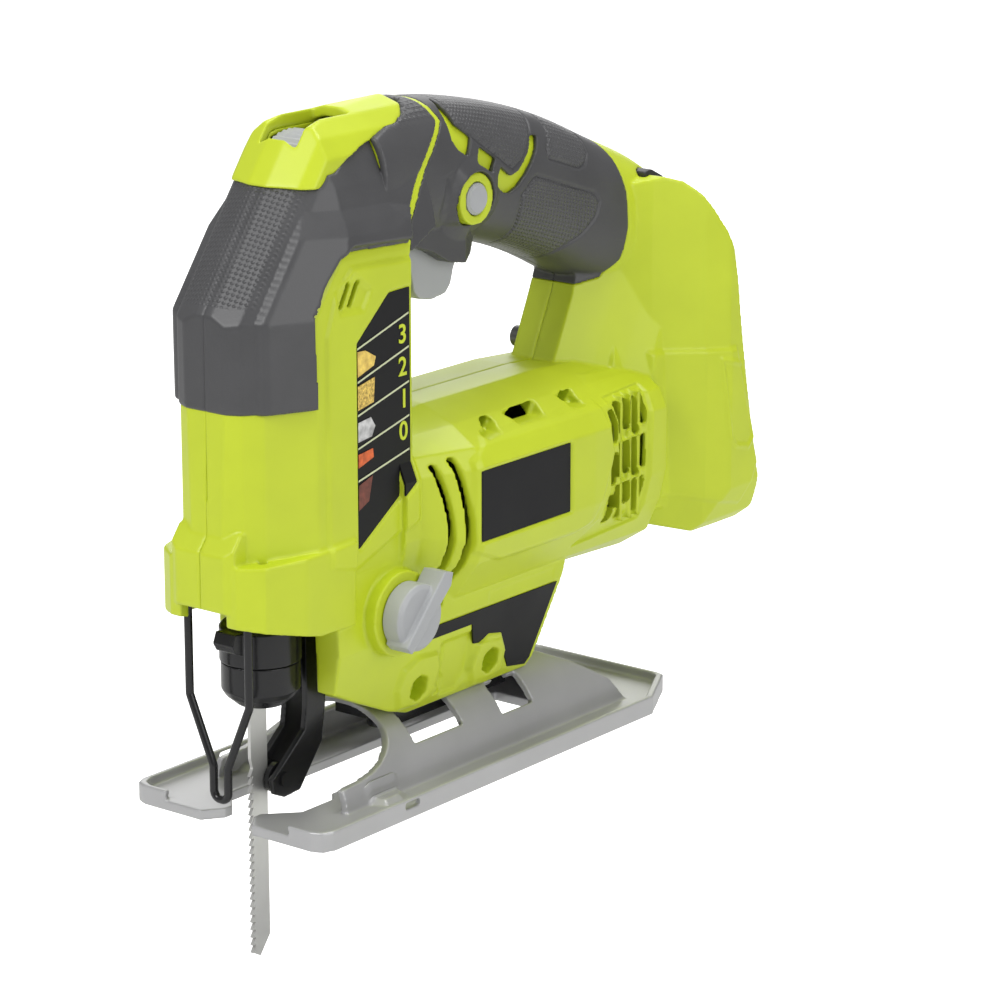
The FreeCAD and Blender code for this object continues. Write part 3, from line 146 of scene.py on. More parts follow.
def knurled(name, colour, rough, pitch, depth, stripes, region=(), winding=None):
    # small lozenges in rows; stripes are the two directions of the rows, region limits them by planes,
    # and winding (radius, slope and height of a sloping axis) rolls them round a handle
    finish = newFinish(name, colour, rough, grain=1800, grainDepth=0.03, mottleAmount=0.08)
    tree = finish.node_tree
    shader = tree.nodes["Principled BSDF"]
    place = tree.nodes["Texture Coordinate"]
    grainBump = tree.nodes["Bump"]
    split = tree.nodes.new("ShaderNodeSeparateXYZ")
    tree.links.new(place.outputs["Object"], split.inputs[0])
    flip = tree.nodes.new("ShaderNodeMath")
    flip.operation = "ABSOLUTE"
    tree.links.new(split.outputs["Y"], flip.inputs[0])
    fold = tree.nodes.new("ShaderNodeCombineXYZ")
    tree.links.new(split.outputs["X"], fold.inputs["X"])
    tree.links.new(flip.outputs[0], fold.inputs["Y"])
    tree.links.new(split.outputs["Z"], fold.inputs["Z"])
    if winding:
        radius, slope, height = winding
        # the height above the handle's sloping axis, then the angle round it, then the way along its rim
        axisRise = tree.nodes.new("ShaderNodeMath")
        axisRise.operation = "MULTIPLY_ADD"
        axisRise.inputs[1].default_value = -slope
        tree.links.new(split.outputs["X"], axisRise.inputs[0])
        tree.links.new(split.outputs["Z"], axisRise.inputs[2])
        above = tree.nodes.new("ShaderNodeMath")
        above.operation = "SUBTRACT"
        above.inputs[1].default_value = height * mm
        tree.links.new(axisRise.outputs[0], above.inputs[0])
        turn = tree.nodes.new("ShaderNodeMath")
        turn.operation = "ARCTAN2"
        tree.links.new(flip.outputs[0], turn.inputs[0])
        tree.links.new(above.outputs[0], turn.inputs[1])
        wound = tree.nodes.new("ShaderNodeMath")
        wound.operation = "MULTIPLY"
        wound.inputs[1].default_value = radius * mm
        tree.links.new(turn.outputs[0], wound.inputs[0])
        tree.links.new(wound.outputs[0], fold.inputs["Y"])

    def along(direction, gain, shift=0.0):
        dot = tree.nodes.new("ShaderNodeVectorMath")
        dot.operation = "DOT_PRODUCT"
        dot.inputs[1].default_value = direction
        tree.links.new(fold.outputs[0], dot.inputs[0])
        scaled = tree.nodes.new("ShaderNodeMath")
        scaled.operation = "MULTIPLY_ADD"
        scaled.inputs[1].default_value = gain
        scaled.inputs[2].default_value = shift
        tree.links.new(dot.outputs["Value"], scaled.inputs[0])
        return scaled

    def combine(operation, one, other):
        node = tree.nodes.new("ShaderNodeMath")
        node.operation = operation
        tree.links.new(one.outputs[0], node.inputs[0])
        if isinstance(other, float):
            node.inputs[1].default_value = other
        else:
            tree.links.new(other.outputs[0], node.inputs[1])
        return node

    waves = []
    for direction in stripes:
        wave = tree.nodes.new("ShaderNodeMath")
        wave.operation = "SINE"
        tree.links.new(along(direction, 2 * pi / (pitch * mm)).outputs[0], wave.inputs[0])
        waves.append(wave)
    lozenge = combine("MULTIPLY", waves[0], waves[1])
    height = combine("SMOOTH_MAX", lozenge, 0.0)
    height.inputs[2].default_value = 0.2
    for direction, edge, width in region:
        fade = along(direction, 1 / (width * mm), -edge / width)
        fade.use_clamp = True
        height = combine("MULTIPLY", height, fade)
    bump = tree.nodes.new("ShaderNodeBump")
    bump.inputs["Strength"].default_value = 1
    bump.inputs["Distance"].default_value = depth * mm
    tree.links.new(height.outputs[0], bump.inputs["Height"])
    tree.links.new(grainBump.outputs["Normal"], bump.inputs["Normal"])
    tree.links.new(bump.outputs["Normal"], shader.inputs["Normal"])
    return finish


finishes = {
    "lime_plastic": newFinish(
        "limePlastic", (0.545, 0.65, 0.022), 0.38, grain=1400, grainDepth=0.012, mottleAmount=0.03,
    ),
    "grip_rubber": newFinish(
        "gripRubber", (0.062, 0.062, 0.065), 0.42, grain=1800, grainDepth=0.02, mottleAmount=0.08,
    ),
    "black_plastic": newFinish("blackPlastic", (0.022, 0.022, 0.024), 0.45, grain=1500, grainDepth=0.02),
    "label_film": newFinish(
        "labelFilm", (0.008, 0.008, 0.009), 0.5, grain=2500, grainDepth=0.004, specular=0.25,
    ),
    "grey_plastic": newFinish("greyPlastic", (0.40, 0.41, 0.42), 0.42, grain=1600, grainDepth=0.015),
    "can_steel": newFinish("canSteel", (0.34, 0.34, 0.33), 0.35, metal=1, grain=700, grainDepth=0.01),
    "bearing_steel": newFinish(
        "bearingSteel", (0.55, 0.55, 0.56), 0.22, metal=1, grain=500, grainDepth=0.005,
    ),
    "magnet": newFinish("magnetCeramic", (0.05, 0.05, 0.055), 0.6, grain=900, grainDepth=0.03),
    "armature_steel": newFinish(
        "armatureSteel", (0.28, 0.25, 0.22), 0.45, metal=0.8, grain=600, grainDepth=0.03,
    ),
    "gear_steel": newFinish("gearSteel", (0.42, 0.41, 0.40), 0.33, metal=1, grain=900, grainDepth=0.01),
    "plate_aluminium": newFinish(
        "plateAluminium", (0.62, 0.63, 0.64), 0.42, metal=1, grain=600, grainDepth=0.03,
    ),
    "black_steel": newFinish(
        "blackSteel", (0.014, 0.014, 0.015), 0.24, roughSpread=0.05, metal=0.2, grain=700, grainDepth=0.015,
    ),
    "bush_bronze": newFinish(
        "bushBronze", (0.42, 0.24, 0.09), 0.4, metal=1, grain=1300, grainDepth=0.02,
    ),
    "blade_steel": newFinish(
        "bladeSteel", (0.62, 0.62, 0.60), 0.34, metal=0.85, grain=900, grainDepth=0.01,
    ),
    "shoe_metal": newFinish(
        "shoeMetal", (0.46, 0.46, 0.465), 0.4, metal=0.4, grain=1200, grainDepth=0.02,
    ),
    "screw_steel": newFinish(
        "screwSteel", (0.12, 0.12, 0.12), 0.35, metal=0.9, grain=900, grainDepth=0.01,
    ),
    "contact_brass": newFinish(
        "contactBrass", (0.60, 0.42, 0.13), 0.3, metal=1, grain=700, grainDepth=0.008,
    ),
}

finishes["padRubber"] = knurled(
    "padRubber", (0.074, 0.074, 0.077), 0.4, 2.4, 0.26, [(0.8, 1, 0), (0.8, -1, 0)],
    winding=(17.5, 0.274, 211.4),
)
finishes["coverRubber"] = knurled(
    "coverRubber", (0.066, 0.066, 0.069), 0.42, 2.7, 0.26, [(0.6, 0.8, -0.6), (0.6, -0.8, -0.6)],
    region=[((0, 0, 1), 162, 1.5), ((0, -1, 0), -15.5, 3)],
)
printed = {
    "markLime": ((0.60, 0.70, 0.03), 0.5, {"grain": 2500, "grainDepth": 0.003}),
    "markWhite": ((0.62, 0.66, 0.42), 0.5, {"grain": 2500, "grainDepth": 0.003}),
    "paleBoard": ((0.86, 0.55, 0.12), 0.6, {"mottle": 420, "mottleAmount": 0.35}),
    "flakeBoard": ((0.74, 0.45, 0.10), 0.6, {"mottle": 1500, "mottleAmount": 0.6}),
    "paleTube": ((0.55, 0.55, 0.55), 0.5, {"mottle": 300, "mottleAmount": 0.45}),
    "redSheet": ((0.62, 0.12, 0.03), 0.5, {"mottle": 500, "mottleAmount": 0.35}),
    "brownSheet": ((0.16, 0.045, 0.03), 0.5, {"mottle": 500, "mottleAmount": 0.4}),
}
for name, (colour, rough, surface) in printed.items():
    finishes[name] = newFinish(name, colour, rough, **surface)
for part in frame["record"]["subparts"]:
    paint(nodes[part["node"]], finishes[part["material_slot"]])
print("finishes on", len(nodes), "nodes")


# shells cast from the frame, with moulded edges; lengths are in mm from here on

def liftCopy(node, name):
    # a copy of the node's mesh with its loose corners merged
    piece = bpy.data.objects.new(name, nodes[node].data.copy())
    bpy.context.scene.collection.objects.link(piece)
    pickUp(piece)
    bpy.ops.object.mode_set(mode="EDIT")
    bpy.ops.mesh.select_all(action="SELECT")
    bpy.ops.mesh.remove_doubles(threshold=1e-6)
    bpy.ops.object.mode_set(mode="OBJECT")
    return piece


def slab(name, outline, low, high):
    # a plate across the tool, from its side outline in mm
    clearSelection()
    bpy.ops.mesh.primitive_circle_add(vertices=len(outline), radius=mm, fill_type="NGON")
    plate = bpy.context.object
    plate.name = name
    for vertex, (x, z) in zip(plate.data.vertices, outline):
        vertex.co = (x * mm, low * mm, z * mm)
    bpy.ops.object.mode_set(mode="EDIT")
    bpy.ops.mesh.select_all(action="SELECT")
    bpy.ops.mesh.extrude_region_move(TRANSFORM_OT_translate={"value": (0, (high - low) * mm, 0)})
    bpy.ops.mesh.select_all(action="SELECT")
    bpy.ops.mesh.normals_make_consistent(inside=False)
    bpy.ops.object.mode_set(mode="OBJECT")
    return plate


def carve(piece, cutter, how="DIFFERENCE"):
    cut = piece.modifiers.new("carve", "BOOLEAN")
    cut.operation = how
    cut.solver = "EXACT"
    cut.object = cutter
    applyAll(piece)
    bpy.data.objects.remove(cutter)
    return piece


def joinInto(piece, *others):
    clearSelection()
    for other in others:
        other.select_set(True)
    piece.select_set(True)
    bpy.context.view_layer.objects.active = piece
    bpy.ops.object.join()
    return piece


def remeshed(piece, voxel):
    remesh = piece.modifiers.new("voxels", "REMESH")
    remesh.mode = "VOXEL"
    remesh.voxel_size = voxel * mm
    return applyAll(piece)


def softened(piece, passes, keep, limit=190000):
    soften = piece.modifiers.new("soften", "SMOOTH")
    soften.factor = 0.5
    soften.iterations = passes
    applyAll(piece)
    faces = len(piece.data.polygons) * 2
    thin = piece.modifiers.new("thin", "DECIMATE")
    thin.ratio = min(keep, limit / max(faces, 1))
    for polygon in piece.data.polygons:
        polygon.use_smooth = True
    applyAll(piece)
    evenOut = piece.modifiers.new("normals", "WEIGHTED_NORMAL")
    evenOut.weight = 60
    applyAll(piece)
    print("  ", piece.name, len(piece.data.polygons), "faces")
    return piece


def circleOutline(x, z, radius, count=24):
    turns = [2 * pi * k / count for k in range(count)]
    return [(x + radius * cos(turn), z + radius * sin(turn)) for turn in turns]


def distances(across, up, outline, closed=True):
    # how far each point is from each side of an outline, and whether it is inside
    inside = np.zeros(len(across), bool)
    far = []
    count = len(outline)
    for i in range(count if closed else count - 1):
        (ax, az), (bx, bz) = outline[i], outline[(i + 1) % count]
        if closed and az != bz:
            at = ax + (up - az) * (bx - ax) / (bz - az)
            inside ^= ((az > up) != (bz > up)) & (across < at)
        share = ((across - ax) * (bx - ax) + (up - az) * (bz - az)) / ((bx - ax) ** 2 + (bz - az) ** 2)
        share = np.clip(share, 0, 1)
        far.append(np.hypot(across - ax - share * (bx - ax), up - az - share * (bz - az)))
    return inside, np.array(far)


def surfaceOf(piece, axis, side, facing):
    mesh = piece.data
    mesh.update()
    spots = np.empty(len(mesh.vertices) * 3, np.float32)
    mesh.vertices.foreach_get("co", spots)
    spots = spots.reshape(-1, 3) * 1000
    normals = np.empty(len(mesh.vertices) * 3, np.float32)
    mesh.vertex_normals.foreach_get("vector", normals)
    looking = normals.reshape(-1, 3)[:, axis] * side > facing
    flat = [k for k in (0, 1, 2) if k != axis]
    return spots, looking, spots[:, flat[0]], spots[:, flat[1]]


def raiseArea(piece, outline, height, ramp=0.8, axis=1, side=1, facing=0.2, ramps=None, span=None):
    # lifts what lies inside the outline along the axis; a negative height presses it in
    spots, looking, across, up = surfaceOf(piece, axis, side, facing)
    inside, far = distances(across, up, outline)
    widths = np.array(ramps or [ramp] * len(outline)).reshape(-1, 1)
    rise = np.clip((far / widths).min(axis=0), 0, 1) * inside * looking
    if span:
        rise = rise * (spots[:, axis] * side > span[0]) * (spots[:, axis] * side < span[1])
    spots[:, axis] += side * height * rise
    piece.data.vertices.foreach_set("co", (spots / 1000).ravel())
    piece.data.update()


def scoreLine(piece, line, width, depth, axis=1, side=1, closed=False, facing=0.2, span=None):
    # a groove, or with a negative depth a bead, along a line
    spots, looking, across, up = surfaceOf(piece, axis, side, facing)
    _, far = distances(across, up, line, closed)
    bite = np.clip(1.3 - far.min(axis=0) / (width / 2), 0, 1) * looking
    if span:
        bite = bite * (spots[:, axis] * side > span[0]) * (spots[:, axis] * side < span[1])
    spots[:, axis] -= side * depth * bite
    piece.data.vertices.foreach_set("co", (spots / 1000).ravel())
    piece.data.update()


# the two housing halves
housing = {
    "voxel": 0.55,
    "labelFrame": [(-6.5, 81), (-6.5, 152), (-11, 165), (-18.5, 171.5), (-47, 170), (-47, 88), (-20, 78)],
    "labelHole": [(-20, 147.8), (-35.2, 161.1), (-45.7, 161.5), (-45.7, 100), (-20, 83.4)],
    "ventHollow": [(-10.5, 165.5), (-19.5, 169.5), (-27.5, 163.5), (-23.5, 156.8), (-12, 157.5)],
    "louvre": [(-136.5, 109.8), (-160, 110), (-157.5, 64.5), (-121, 62.5), (-129.4, 71.1), (-138.9, 91.8)],
    "barrelPanel": [(-62.5, 104.5), (-72, 110.5), (-131, 110.5), (-136, 92), (-125.5, 71.5), (-117, 69),
                    (-78, 69), (-62.5, 75)],
    "badgeHole": [(-64.9, 77.9), (-111.1, 77.9), (-111.1, 101.6), (-64.9, 101.6)],
    "bossFront": [(-43.5, 40), (-50.5, 43), (-60.5, 42), (-63, 36), (-61, 27.5), (-55, 24.5), (-44, 25.5),
                  (-41, 33)],
    "bossRear": [(-80.5, 39), (-86, 42), (-93.5, 40.5), (-97, 34), (-96, 26), (-90, 22.5), (-81, 23.5),
                 (-78, 31)],
    "footHollow": [(-62, 44.5), (-79.5, 44.5), (-79.5, 30), (-75, 24.5), (-66, 24.5), (-62, 30)],
    "footSpring": [(-64.5, 42), (-64.5, 33), (-66.5, 30.5), (-65.5, 27.5), (-62.5, 26.5)],
    "dockPlate": [(-168, 118.4), (-200, 116.4), (-213, 74), (-206, 60), (-172, 68), (-170, 88)],
    "dockBadge": [(-192.2, 113), (-203.5, 109.8), (-209, 84), (-206, 80.8), (-199, 82.5), (-195.8, 86)],
    "louvreHood": [(-134, 112.5), (-160, 112.5), (-158, 124), (-146, 127)],
    # an area has its height, ramp and nearest y; a scored line has its width, depth and nearest y
    "reliefBoth": [
        ("raise", "barrelPanel", 0.9, 1.2, 24),
        ("raise", "badgeHole", -0.9, 0.5, 30),
        ("raise", "louvre", -1.2, 0.7, 26),
        ("raise", "louvreHood", 1.0, 2.5, 18),
        ("raise", "dockPlate", 1.1, 1.2, 20),
        ("score", "dockBadge", 1.6, -0.6, 20),
        ("raise", "bossFront", 1.3, 1.2, 14),
        ("raise", "bossRear", 1.3, 1.2, 14),
        ("raise", "footHollow", -1.3, 1.5, 14),
    ],
    "reliefLeft": [
        ("raise", "labelFrame", 0.9, 1.0, 20),
        ("raise", "labelHole", -0.9, 0.4, 20),
        ("raise", "ventHollow", -0.9, 1.5, 20),
        ("score", "footSpring", 1.1, 0.9, 14),
    ],
    "fillStart": -47,
    "fillEnd": -66,
    "fillSink": 0.1,
    "barrelFront": [(18, 63), (24, 73), (26.5, 82), (26.5, 101), (24, 107)],
    "barrelFull": [(25, 58.5), (34, 71), (36, 78), (36, 102), (33, 108)],
    "fillDepth": 2.8,
    "arcVents": [
        {"top": (-51.5, 104.5), "foot": (-54, 62), "bow": 4.2, "width": 2.2, "steps": 12},
        {"top": (-57.5, 106), "foot": (-58, 58), "bow": 4.6, "width": 2.3, "steps": 12},
    ],
    "louvreWindows": [
        [(-139.5, 97.5), (-139.5, 107.5), (-157.5, 107.5), (-157, 97.5)],
        [(-138.5, 83), (-139.5, 94.5), (-157, 94.5), (-156.5, 83)],
        [(-134, 72.5), (-138, 80.5), (-156.3, 80.5), (-155.8, 72.5)],
    ],
    "cutReach": (18, 60),
    "finPlaces": [-144.3, -149.2, -153.8],
    "finHalf": 0.7,
    "finEnds": (67, 109),
    "finReach": (26, 32.6),
    "topVents": [
        [(-75, 110.2), (-81.5, 110.2), (-83.5, 113.6), (-79, 113.6)],
        [(-91, 109.8), (-104, 109.8), (-106.5, 113.8), (-94, 113.8)],
        [(-118.5, 109.8), (-124, 109.8), (-126.5, 113.8), (-121, 113.8)],
    ],
}


def ventFill(side):
    # closes the straight slots behind the nose before the curved ones are cut
    near = housing["barrelFront"]
    far = housing["barrelFull"]
    ringSize = len(near) * 2
    clearSelection()
    bpy.ops.mesh.primitive_circle_add(vertices=ringSize, radius=mm, fill_type="NGON")
    fill = bpy.context.object
    bpy.ops.object.mode_set(mode="EDIT")
    bpy.ops.mesh.select_all(action="SELECT")
    bpy.ops.mesh.extrude_region_move(TRANSFORM_OT_translate={"value": (mm, 0, 0)})
    bpy.ops.object.mode_set(mode="OBJECT")
    corners = []
    for x, line in ((housing["fillStart"], near), (housing["fillEnd"], far)):
        for y, z in line:
            corners.append((x * mm, side * (y - housing["fillSink"]) * mm, z * mm))
        for y, z in reversed(line):
            corners.append((x * mm, side * (y - housing["fillDepth"]) * mm, z * mm))
    for vertex, corner in zip(fill.data.vertices, corners):
        vertex.co = corner
    bpy.ops.object.mode_set(mode="EDIT")
    bpy.ops.mesh.select_all(action="SELECT")
    bpy.ops.mesh.normals_make_consistent(inside=False)
    bpy.ops.object.mode_set(mode="OBJECT")
    return fill


def arcSlot(name, curve, low, high):
    # a curved slot of even width, from its middle line
    points = []
    for k in range(curve["steps"] + 1):
        share = k / curve["steps"]
        bow = curve["bow"] * sin(pi * share)
        x = curve["top"][0] + share * (curve["foot"][0] - curve["top"][0]) - bow
        z = curve["top"][1] + share * (curve["foot"][1] - curve["top"][1])
        points.append((x, z))
    half = curve["width"] / 2
    rim = [(x - half, z) for x, z in points] + [(x + half, z) for x, z in reversed(points)]
    return slab(name, rim, low, high)


def shapeRelief(shell, relief, side):
    for kind, key, first, second, nearest in relief:
        span = (nearest, housing["cutReach"][1])
        if kind == "raise":
            raiseArea(shell, housing[key], first, second, side=side, span=span)
        else:
            closed = key == "dockBadge"
            scoreLine(shell, housing[key], first, second, side=side, closed=closed, span=span)


def castHousing(node, name, side):
    shell = liftCopy(node, name)
    low, high = sorted(side * reach for reach in housing["cutReach"])
    carve(shell, ventFill(side), "UNION")
    for number, curve in enumerate(housing["arcVents"]):
        carve(shell, arcSlot("arcVent%d" % number, curve, low, high))
    for number, window in enumerate(housing["louvreWindows"] + housing["topVents"]):
        carve(shell, slab("window%d" % number, window, low, high))
    finLow, finHigh = sorted(side * reach for reach in housing["finReach"])
    foot, top = housing["finEnds"]
    for x in housing["finPlaces"]:
        back = x - housing["finHalf"]
        front = x + housing["finHalf"]
        fin = slab("fin", [(back, foot), (front, foot), (front, top), (back, top)], finLow, finHigh)
        joinInto(shell, fin)
    shell = remeshed(shell, housing["voxel"])
    shapeRelief(shell, housing["reliefBoth"], side)
    if side > 0:
        shapeRelief(shell, housing["reliefLeft"], side)
    return softened(shell, 3, 0.5)


for node, name, side in (("housing_left", "housingLeftSkin", 1), ("housing_right", "housingRightSkin", -1)):
    settle(castHousing(node, name, side), "body", "lime_plastic", finishes["lime_plastic"], node)
print("housing cast")

# the dark cover over the nose
noseCover = {
    "voxel": 0.45,
    "swell": 0.5,
    "cheek": [(17, 128), (-2.5, 128), (-2.5, 159), (-6.5, 166.5), (-13, 174), (-19, 177), (-51, 175),
              (-51, 184.5), (-38, 187), (2, 188.5), (12, 177), (17.5, 162)],
    "cheekRamps": [0.8, 0.8, 0.8, 0.8, 0.8, 0.8, 0.8, 4, 7.5, 7, 5, 5],
    "cheekHeight": 2.2,
    "underBezel": [(8, 197.5), (-14, 196.5), (-20, 199.7), (-27, 203.8), (-34, 206.2), (-41, 207.8),
                   (-62, 210), (-62, 222), (8, 222)],
    "bezelDepth": 1.3,
    "bezelRamp": 0.8,
    "bezelSpan": (5, 60),
    "cheekSpan": (15, 60),
}


def castCover(node, name, side):
    cover = remeshed(liftCopy(node, name), noseCover["voxel"])
    raiseArea(cover, noseCover["underBezel"], -noseCover["bezelDepth"], noseCover["bezelRamp"], side=side,
              facing=-0.2, span=noseCover["bezelSpan"])
    raiseArea(cover, noseCover["cheek"], noseCover["cheekHeight"], side=side, ramps=noseCover["cheekRamps"],
              span=noseCover["cheekSpan"])
    swell = cover.modifiers.new("swell", "DISPLACE")
    swell.mid_level = 0
    swell.strength = noseCover["swell"] * mm
    applyAll(cover)
    return softened(cover, 3, 0.6)


covers = (("nose_cover_left", "noseCoverLeftSkin", 1), ("nose_cover_right", "noseCoverRightSkin", -1))
for node, name, side in covers:
    settle(castCover(node, name, side), "body", "grip_rubber", finishes["coverRubber"], node)
print("nose cover cast")

# the overmoulded grip, with its windows and its knurled pads
grip = {
    "voxel": 0.42,
    "windows": [
        [(-77.6, 212.5), (-75.4, 208.7), (-75.2, 205.8), (-75.4, 202.9), (-75.6, 200.1), (-78, 197),
         (-82.6, 194.4), (-85.6, 199.7), (-79.6, 204.2), (-78.6, 208.4)],
        [(-88.8, 196.6), (-96.4, 191.8), (-93.9, 187.6), (-86.2, 191.9)],
        [(-96.3, 183.4), (-99, 188.9), (-104, 185.2), (-107.6, 186.2), (-111.4, 189.3), (-114.4, 192.5),
         (-116.8, 196), (-120.5, 195.6), (-118.4, 191.7), (-115.7, 188.5), (-111.5, 184.4),
         (-107.5, 181.4), (-103.5, 179.9), (-100.5, 180.5)],
    ],
    "pads": [
        [(-80.2, 204.6), (-88.3, 198.2), (-105.3, 187.3), (-109.8, 189.2), (-113.3, 192.6),
         (-116.6, 196.8), (-119.5, 201), (-121, 206), (-121, 216), (-79, 216), (-79.6, 210)],
        [(-127.4, 197.1), (-126, 194.1), (-123.8, 191), (-124.2, 187.9), (-140, 182.6), (-143.2, 183.3),
         (-146.2, 186.4), (-147, 191), (-146, 206), (-127, 206)],
        [(-117.5, 183.2), (-146.5, 173.6), (-149.2, 170.5), (-147.5, 166), (-142, 161), (-135, 157),
         (-129, 152), (-104, 152), (-108.5, 163.5), (-109.8, 167.8), (-109.6, 172.7), (-110.1, 178.3),
         (-115.5, 182.6)],
    ],
    "grooveWidth": 1.3,
    "grooveDepth": 0.75,
    "thumbDish": [(-71, 190), (-77, 192), (-81, 186), (-80, 177), (-74, 172), (-69, 178)],
    "windowReach": (3, 60),
    "dishDepth": -1.2,
    "dishRamp": 4,
    "lockCollar": {"place": (-85, 181), "radius": 13.5, "height": 2.0, "ramp": 4.5},
}


def castGrip(node, name, side):
    low, high = sorted(side * reach for reach in grip["windowReach"])
    sleeve = liftCopy(node, name)
    for number, window in enumerate(grip["windows"]):
        carve(sleeve, slab("window%d" % number, window, low, high))
    sleeve = remeshed(sleeve, grip["voxel"])
    for pad in grip["pads"]:
        scoreLine(sleeve, pad, grip["grooveWidth"], grip["grooveDepth"], side=side, closed=True, facing=0.05)
    raiseArea(sleeve, grip["thumbDish"], grip["dishDepth"], grip["dishRamp"], side=side)
    collar = grip["lockCollar"]
    ring = circleOutline(*collar["place"], collar["radius"])
    raiseArea(sleeve, ring, collar["height"], collar["ramp"], side=side)
    softened(sleeve, 2, 0.6)
    paint(sleeve, finishes["grip_rubber"])
    sleeve.data.materials.append(finishes["padRubber"])
    middles = np.empty(len(sleeve.data.polygons) * 3, np.float32)
    sleeve.data.polygons.foreach_get("center", middles)
    middles = middles.reshape(-1, 3) * 1000
    onPad = np.zeros(len(middles), bool)
    for pad in grip["pads"]:
        onPad |= distances(middles[:, 0], middles[:, 2], pad)[0]
    sleeve.data.polygons.foreach_set("material_index", onPad.astype(np.int32))
    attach(sleeve, "body")
    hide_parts(node)
    return sleeve


castGrip("grip_left", "gripLeftSkin", 1)
castGrip("grip_right", "gripRightSkin", -1)
print("grip cast")

# smaller castings: voxel size, smoothing passes, share of faces kept, body, slot
castings = {
    "dial_bezel": ("dialBezelSkin", 0.4, 26, 0.7, "body", "lime_plastic"),
    "rubber_bumper": ("rubberBumperSkin", 0.4, 4, 0.7, "body", "black_plastic"),
    "trigger": ("triggerSkin", 0.4, 12, 0.7, "trigger", "grey_plastic"),
    "selector_knob": ("selectorKnobSkin", 0.32, 4, 0.7, "selector", "grey_plastic"),
    "roller_fork": ("rollerForkSkin", 0.3, 3, 0.7, "blade_guide", "black_steel"),
    "clamp_body": ("clampBodySkin", 0.28, 2, 0.7, "plunger", "black_steel"),
    "release_collar": ("releaseCollarSkin", 0.28, 3, 0.7, "release", "black_steel"),
}
for node, (name, voxel, passes, keep, body, slotName) in castings.items():
    piece = softened(remeshed(liftCopy(node, name), voxel), passes, keep)
    settle(piece, body, slotName, finishes[slotName], node)
print("small castings done")

# the printed films sit a hair proud of the housing
films = {"speed_label": 0.2, "badge_left": 0.2, "badge_right": -0.2, "lower_label": 0.2}
for node, lift in films.items():
    film = liftCopy(node, node.replace("_", "") + "Film")
    film.location = (0, lift * mm, 0)
    layDown(film)
    settle(film, "body", "label_film", finishes["label_film"], node)

# the speed wheel, notched round its rim
wheelBox = [[c / mm for c in corner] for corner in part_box("speed_dial")]
wheel = {
    "middle": ((wheelBox[0][0] + wheelBox[1][0]) / 2, (wheelBox[0][2] + wheelBox[1][2]) / 2),
    "radius": (wheelBox[1][0] - wheelBox[0][0]) / 2,
    "notches": 44,
    "notchDepth": 0.45,
    "half": wheelBox[1][1],
    "axleEnd": wheelBox[0][1],
    "axleRadius": 2.0,
    "axleRoot": 1,
    "edge": 0.5,
}
rim = []
for k in range(wheel["notches"] * 2):
    angle = pi * k / wheel["notches"]
    reach = wheel["radius"] - wheel["notchDepth"] * (k % 2)
    rim.append((wheel["middle"][0] + reach * cos(angle), wheel["middle"][1] + reach * sin(angle)))
disc = slab("speedWheel", rim, -wheel["half"], wheel["half"])
edge = disc.modifiers.new("edge", "BEVEL")
edge.width = wheel["edge"] * mm
edge.limit_method = "ANGLE"
edge.angle_limit = radians(60)
applyAll(disc)
axleRim = circleOutline(*wheel["middle"], wheel["axleRadius"])
axle = slab("wheelAxle", axleRim, wheel["axleEnd"], wheel["axleRoot"] - wheel["half"])
carve(disc, axle, "UNION")
smoothBy(disc, 30)
settle(disc, "dial", "grey_plastic", finishes["grey_plastic"], "speed_dial")
print("speed wheel cut")

# the pressed shoe
shoePlate = {
    "voxel": 0.5,
    "pocket": [(-18, 24), (-23, 20.5), (-31, 20.5), (-35.5, 24), (-35.5, 30.5), (-31, 33), (-23, 32.5)],
    "pocketHeight": 1.8,
    "pocketRamp": 2.2,
    "pocketSpan": (2, 9),
}


def castShoe():
    plate = remeshed(liftCopy("shoe", "shoeSkin"), shoePlate["voxel"])
    for side in (1, -1):
        pocket = [(x, y * side) for x, y in shoePlate["pocket"]]
        raiseArea(plate, pocket, shoePlate["pocketHeight"], shoePlate["pocketRamp"], axis=2,
                  span=shoePlate["pocketSpan"])
    return softened(plate, 3, 0.6)


settle(castShoe(), "shoe", "shoe_metal", finishes["shoe_metal"], "shoe")
print("shoe cast")


# the speed scale on its label

scale = {
    "seat": 24.16 + films["speed_label"],
    "digitSize": 8.2,
    "digits": {"3": (-39.6, 144.3), "2": (-39.6, 134.2), "1": (-40.2, 124.2), "0": (-39.8, 114.2)},
    "digitHalf": 0.08,
    "digitWeight": 0.12,
    "ruleRise": 0.06,
    "swatchSink": 0.07,
    "swatchRise": 0.03,
    "rules": [
        ((-20.6, 146), (-44.6, 153.1)),
        ((-20.6, 135.8), (-44.6, 142.7)),
        ((-20.6, 125.6), (-44.6, 131.9)),
        ((-20.6, 115.4), (-44.6, 121.3)),
        ((-20.6, 105.4), (-44.6, 110.8)),
    ],
    "ruleWidth": 0.28,
    "swatches": {
        "boardTop": (
            [(-20.7, 145.2), (-24.4, 145), (-29.1, 142.4), (-28.2, 139.8), (-20.7, 137.4)], "paleBoard",
        ),
        "boardSide": ([(-20.7, 134.6), (-28.6, 136.2), (-28, 128.6), (-20.7, 127.2)], "flakeBoard"),
        "tube": ([(-20.7, 123.4), (-26.6, 124.2), (-28.6, 121.2), (-27, 118.2), (-20.7, 117.4)], "paleTube"),
        "sheetRed": ([(-20.7, 113.6), (-27.4, 114.4), (-27.8, 111.6), (-20.7, 109.4)], "redSheet"),
        "sheetDark": ([(-20.7, 104), (-27.2, 106), (-25.4, 98.4), (-20.7, 96.2)], "brownSheet"),
    },
}
marks = []
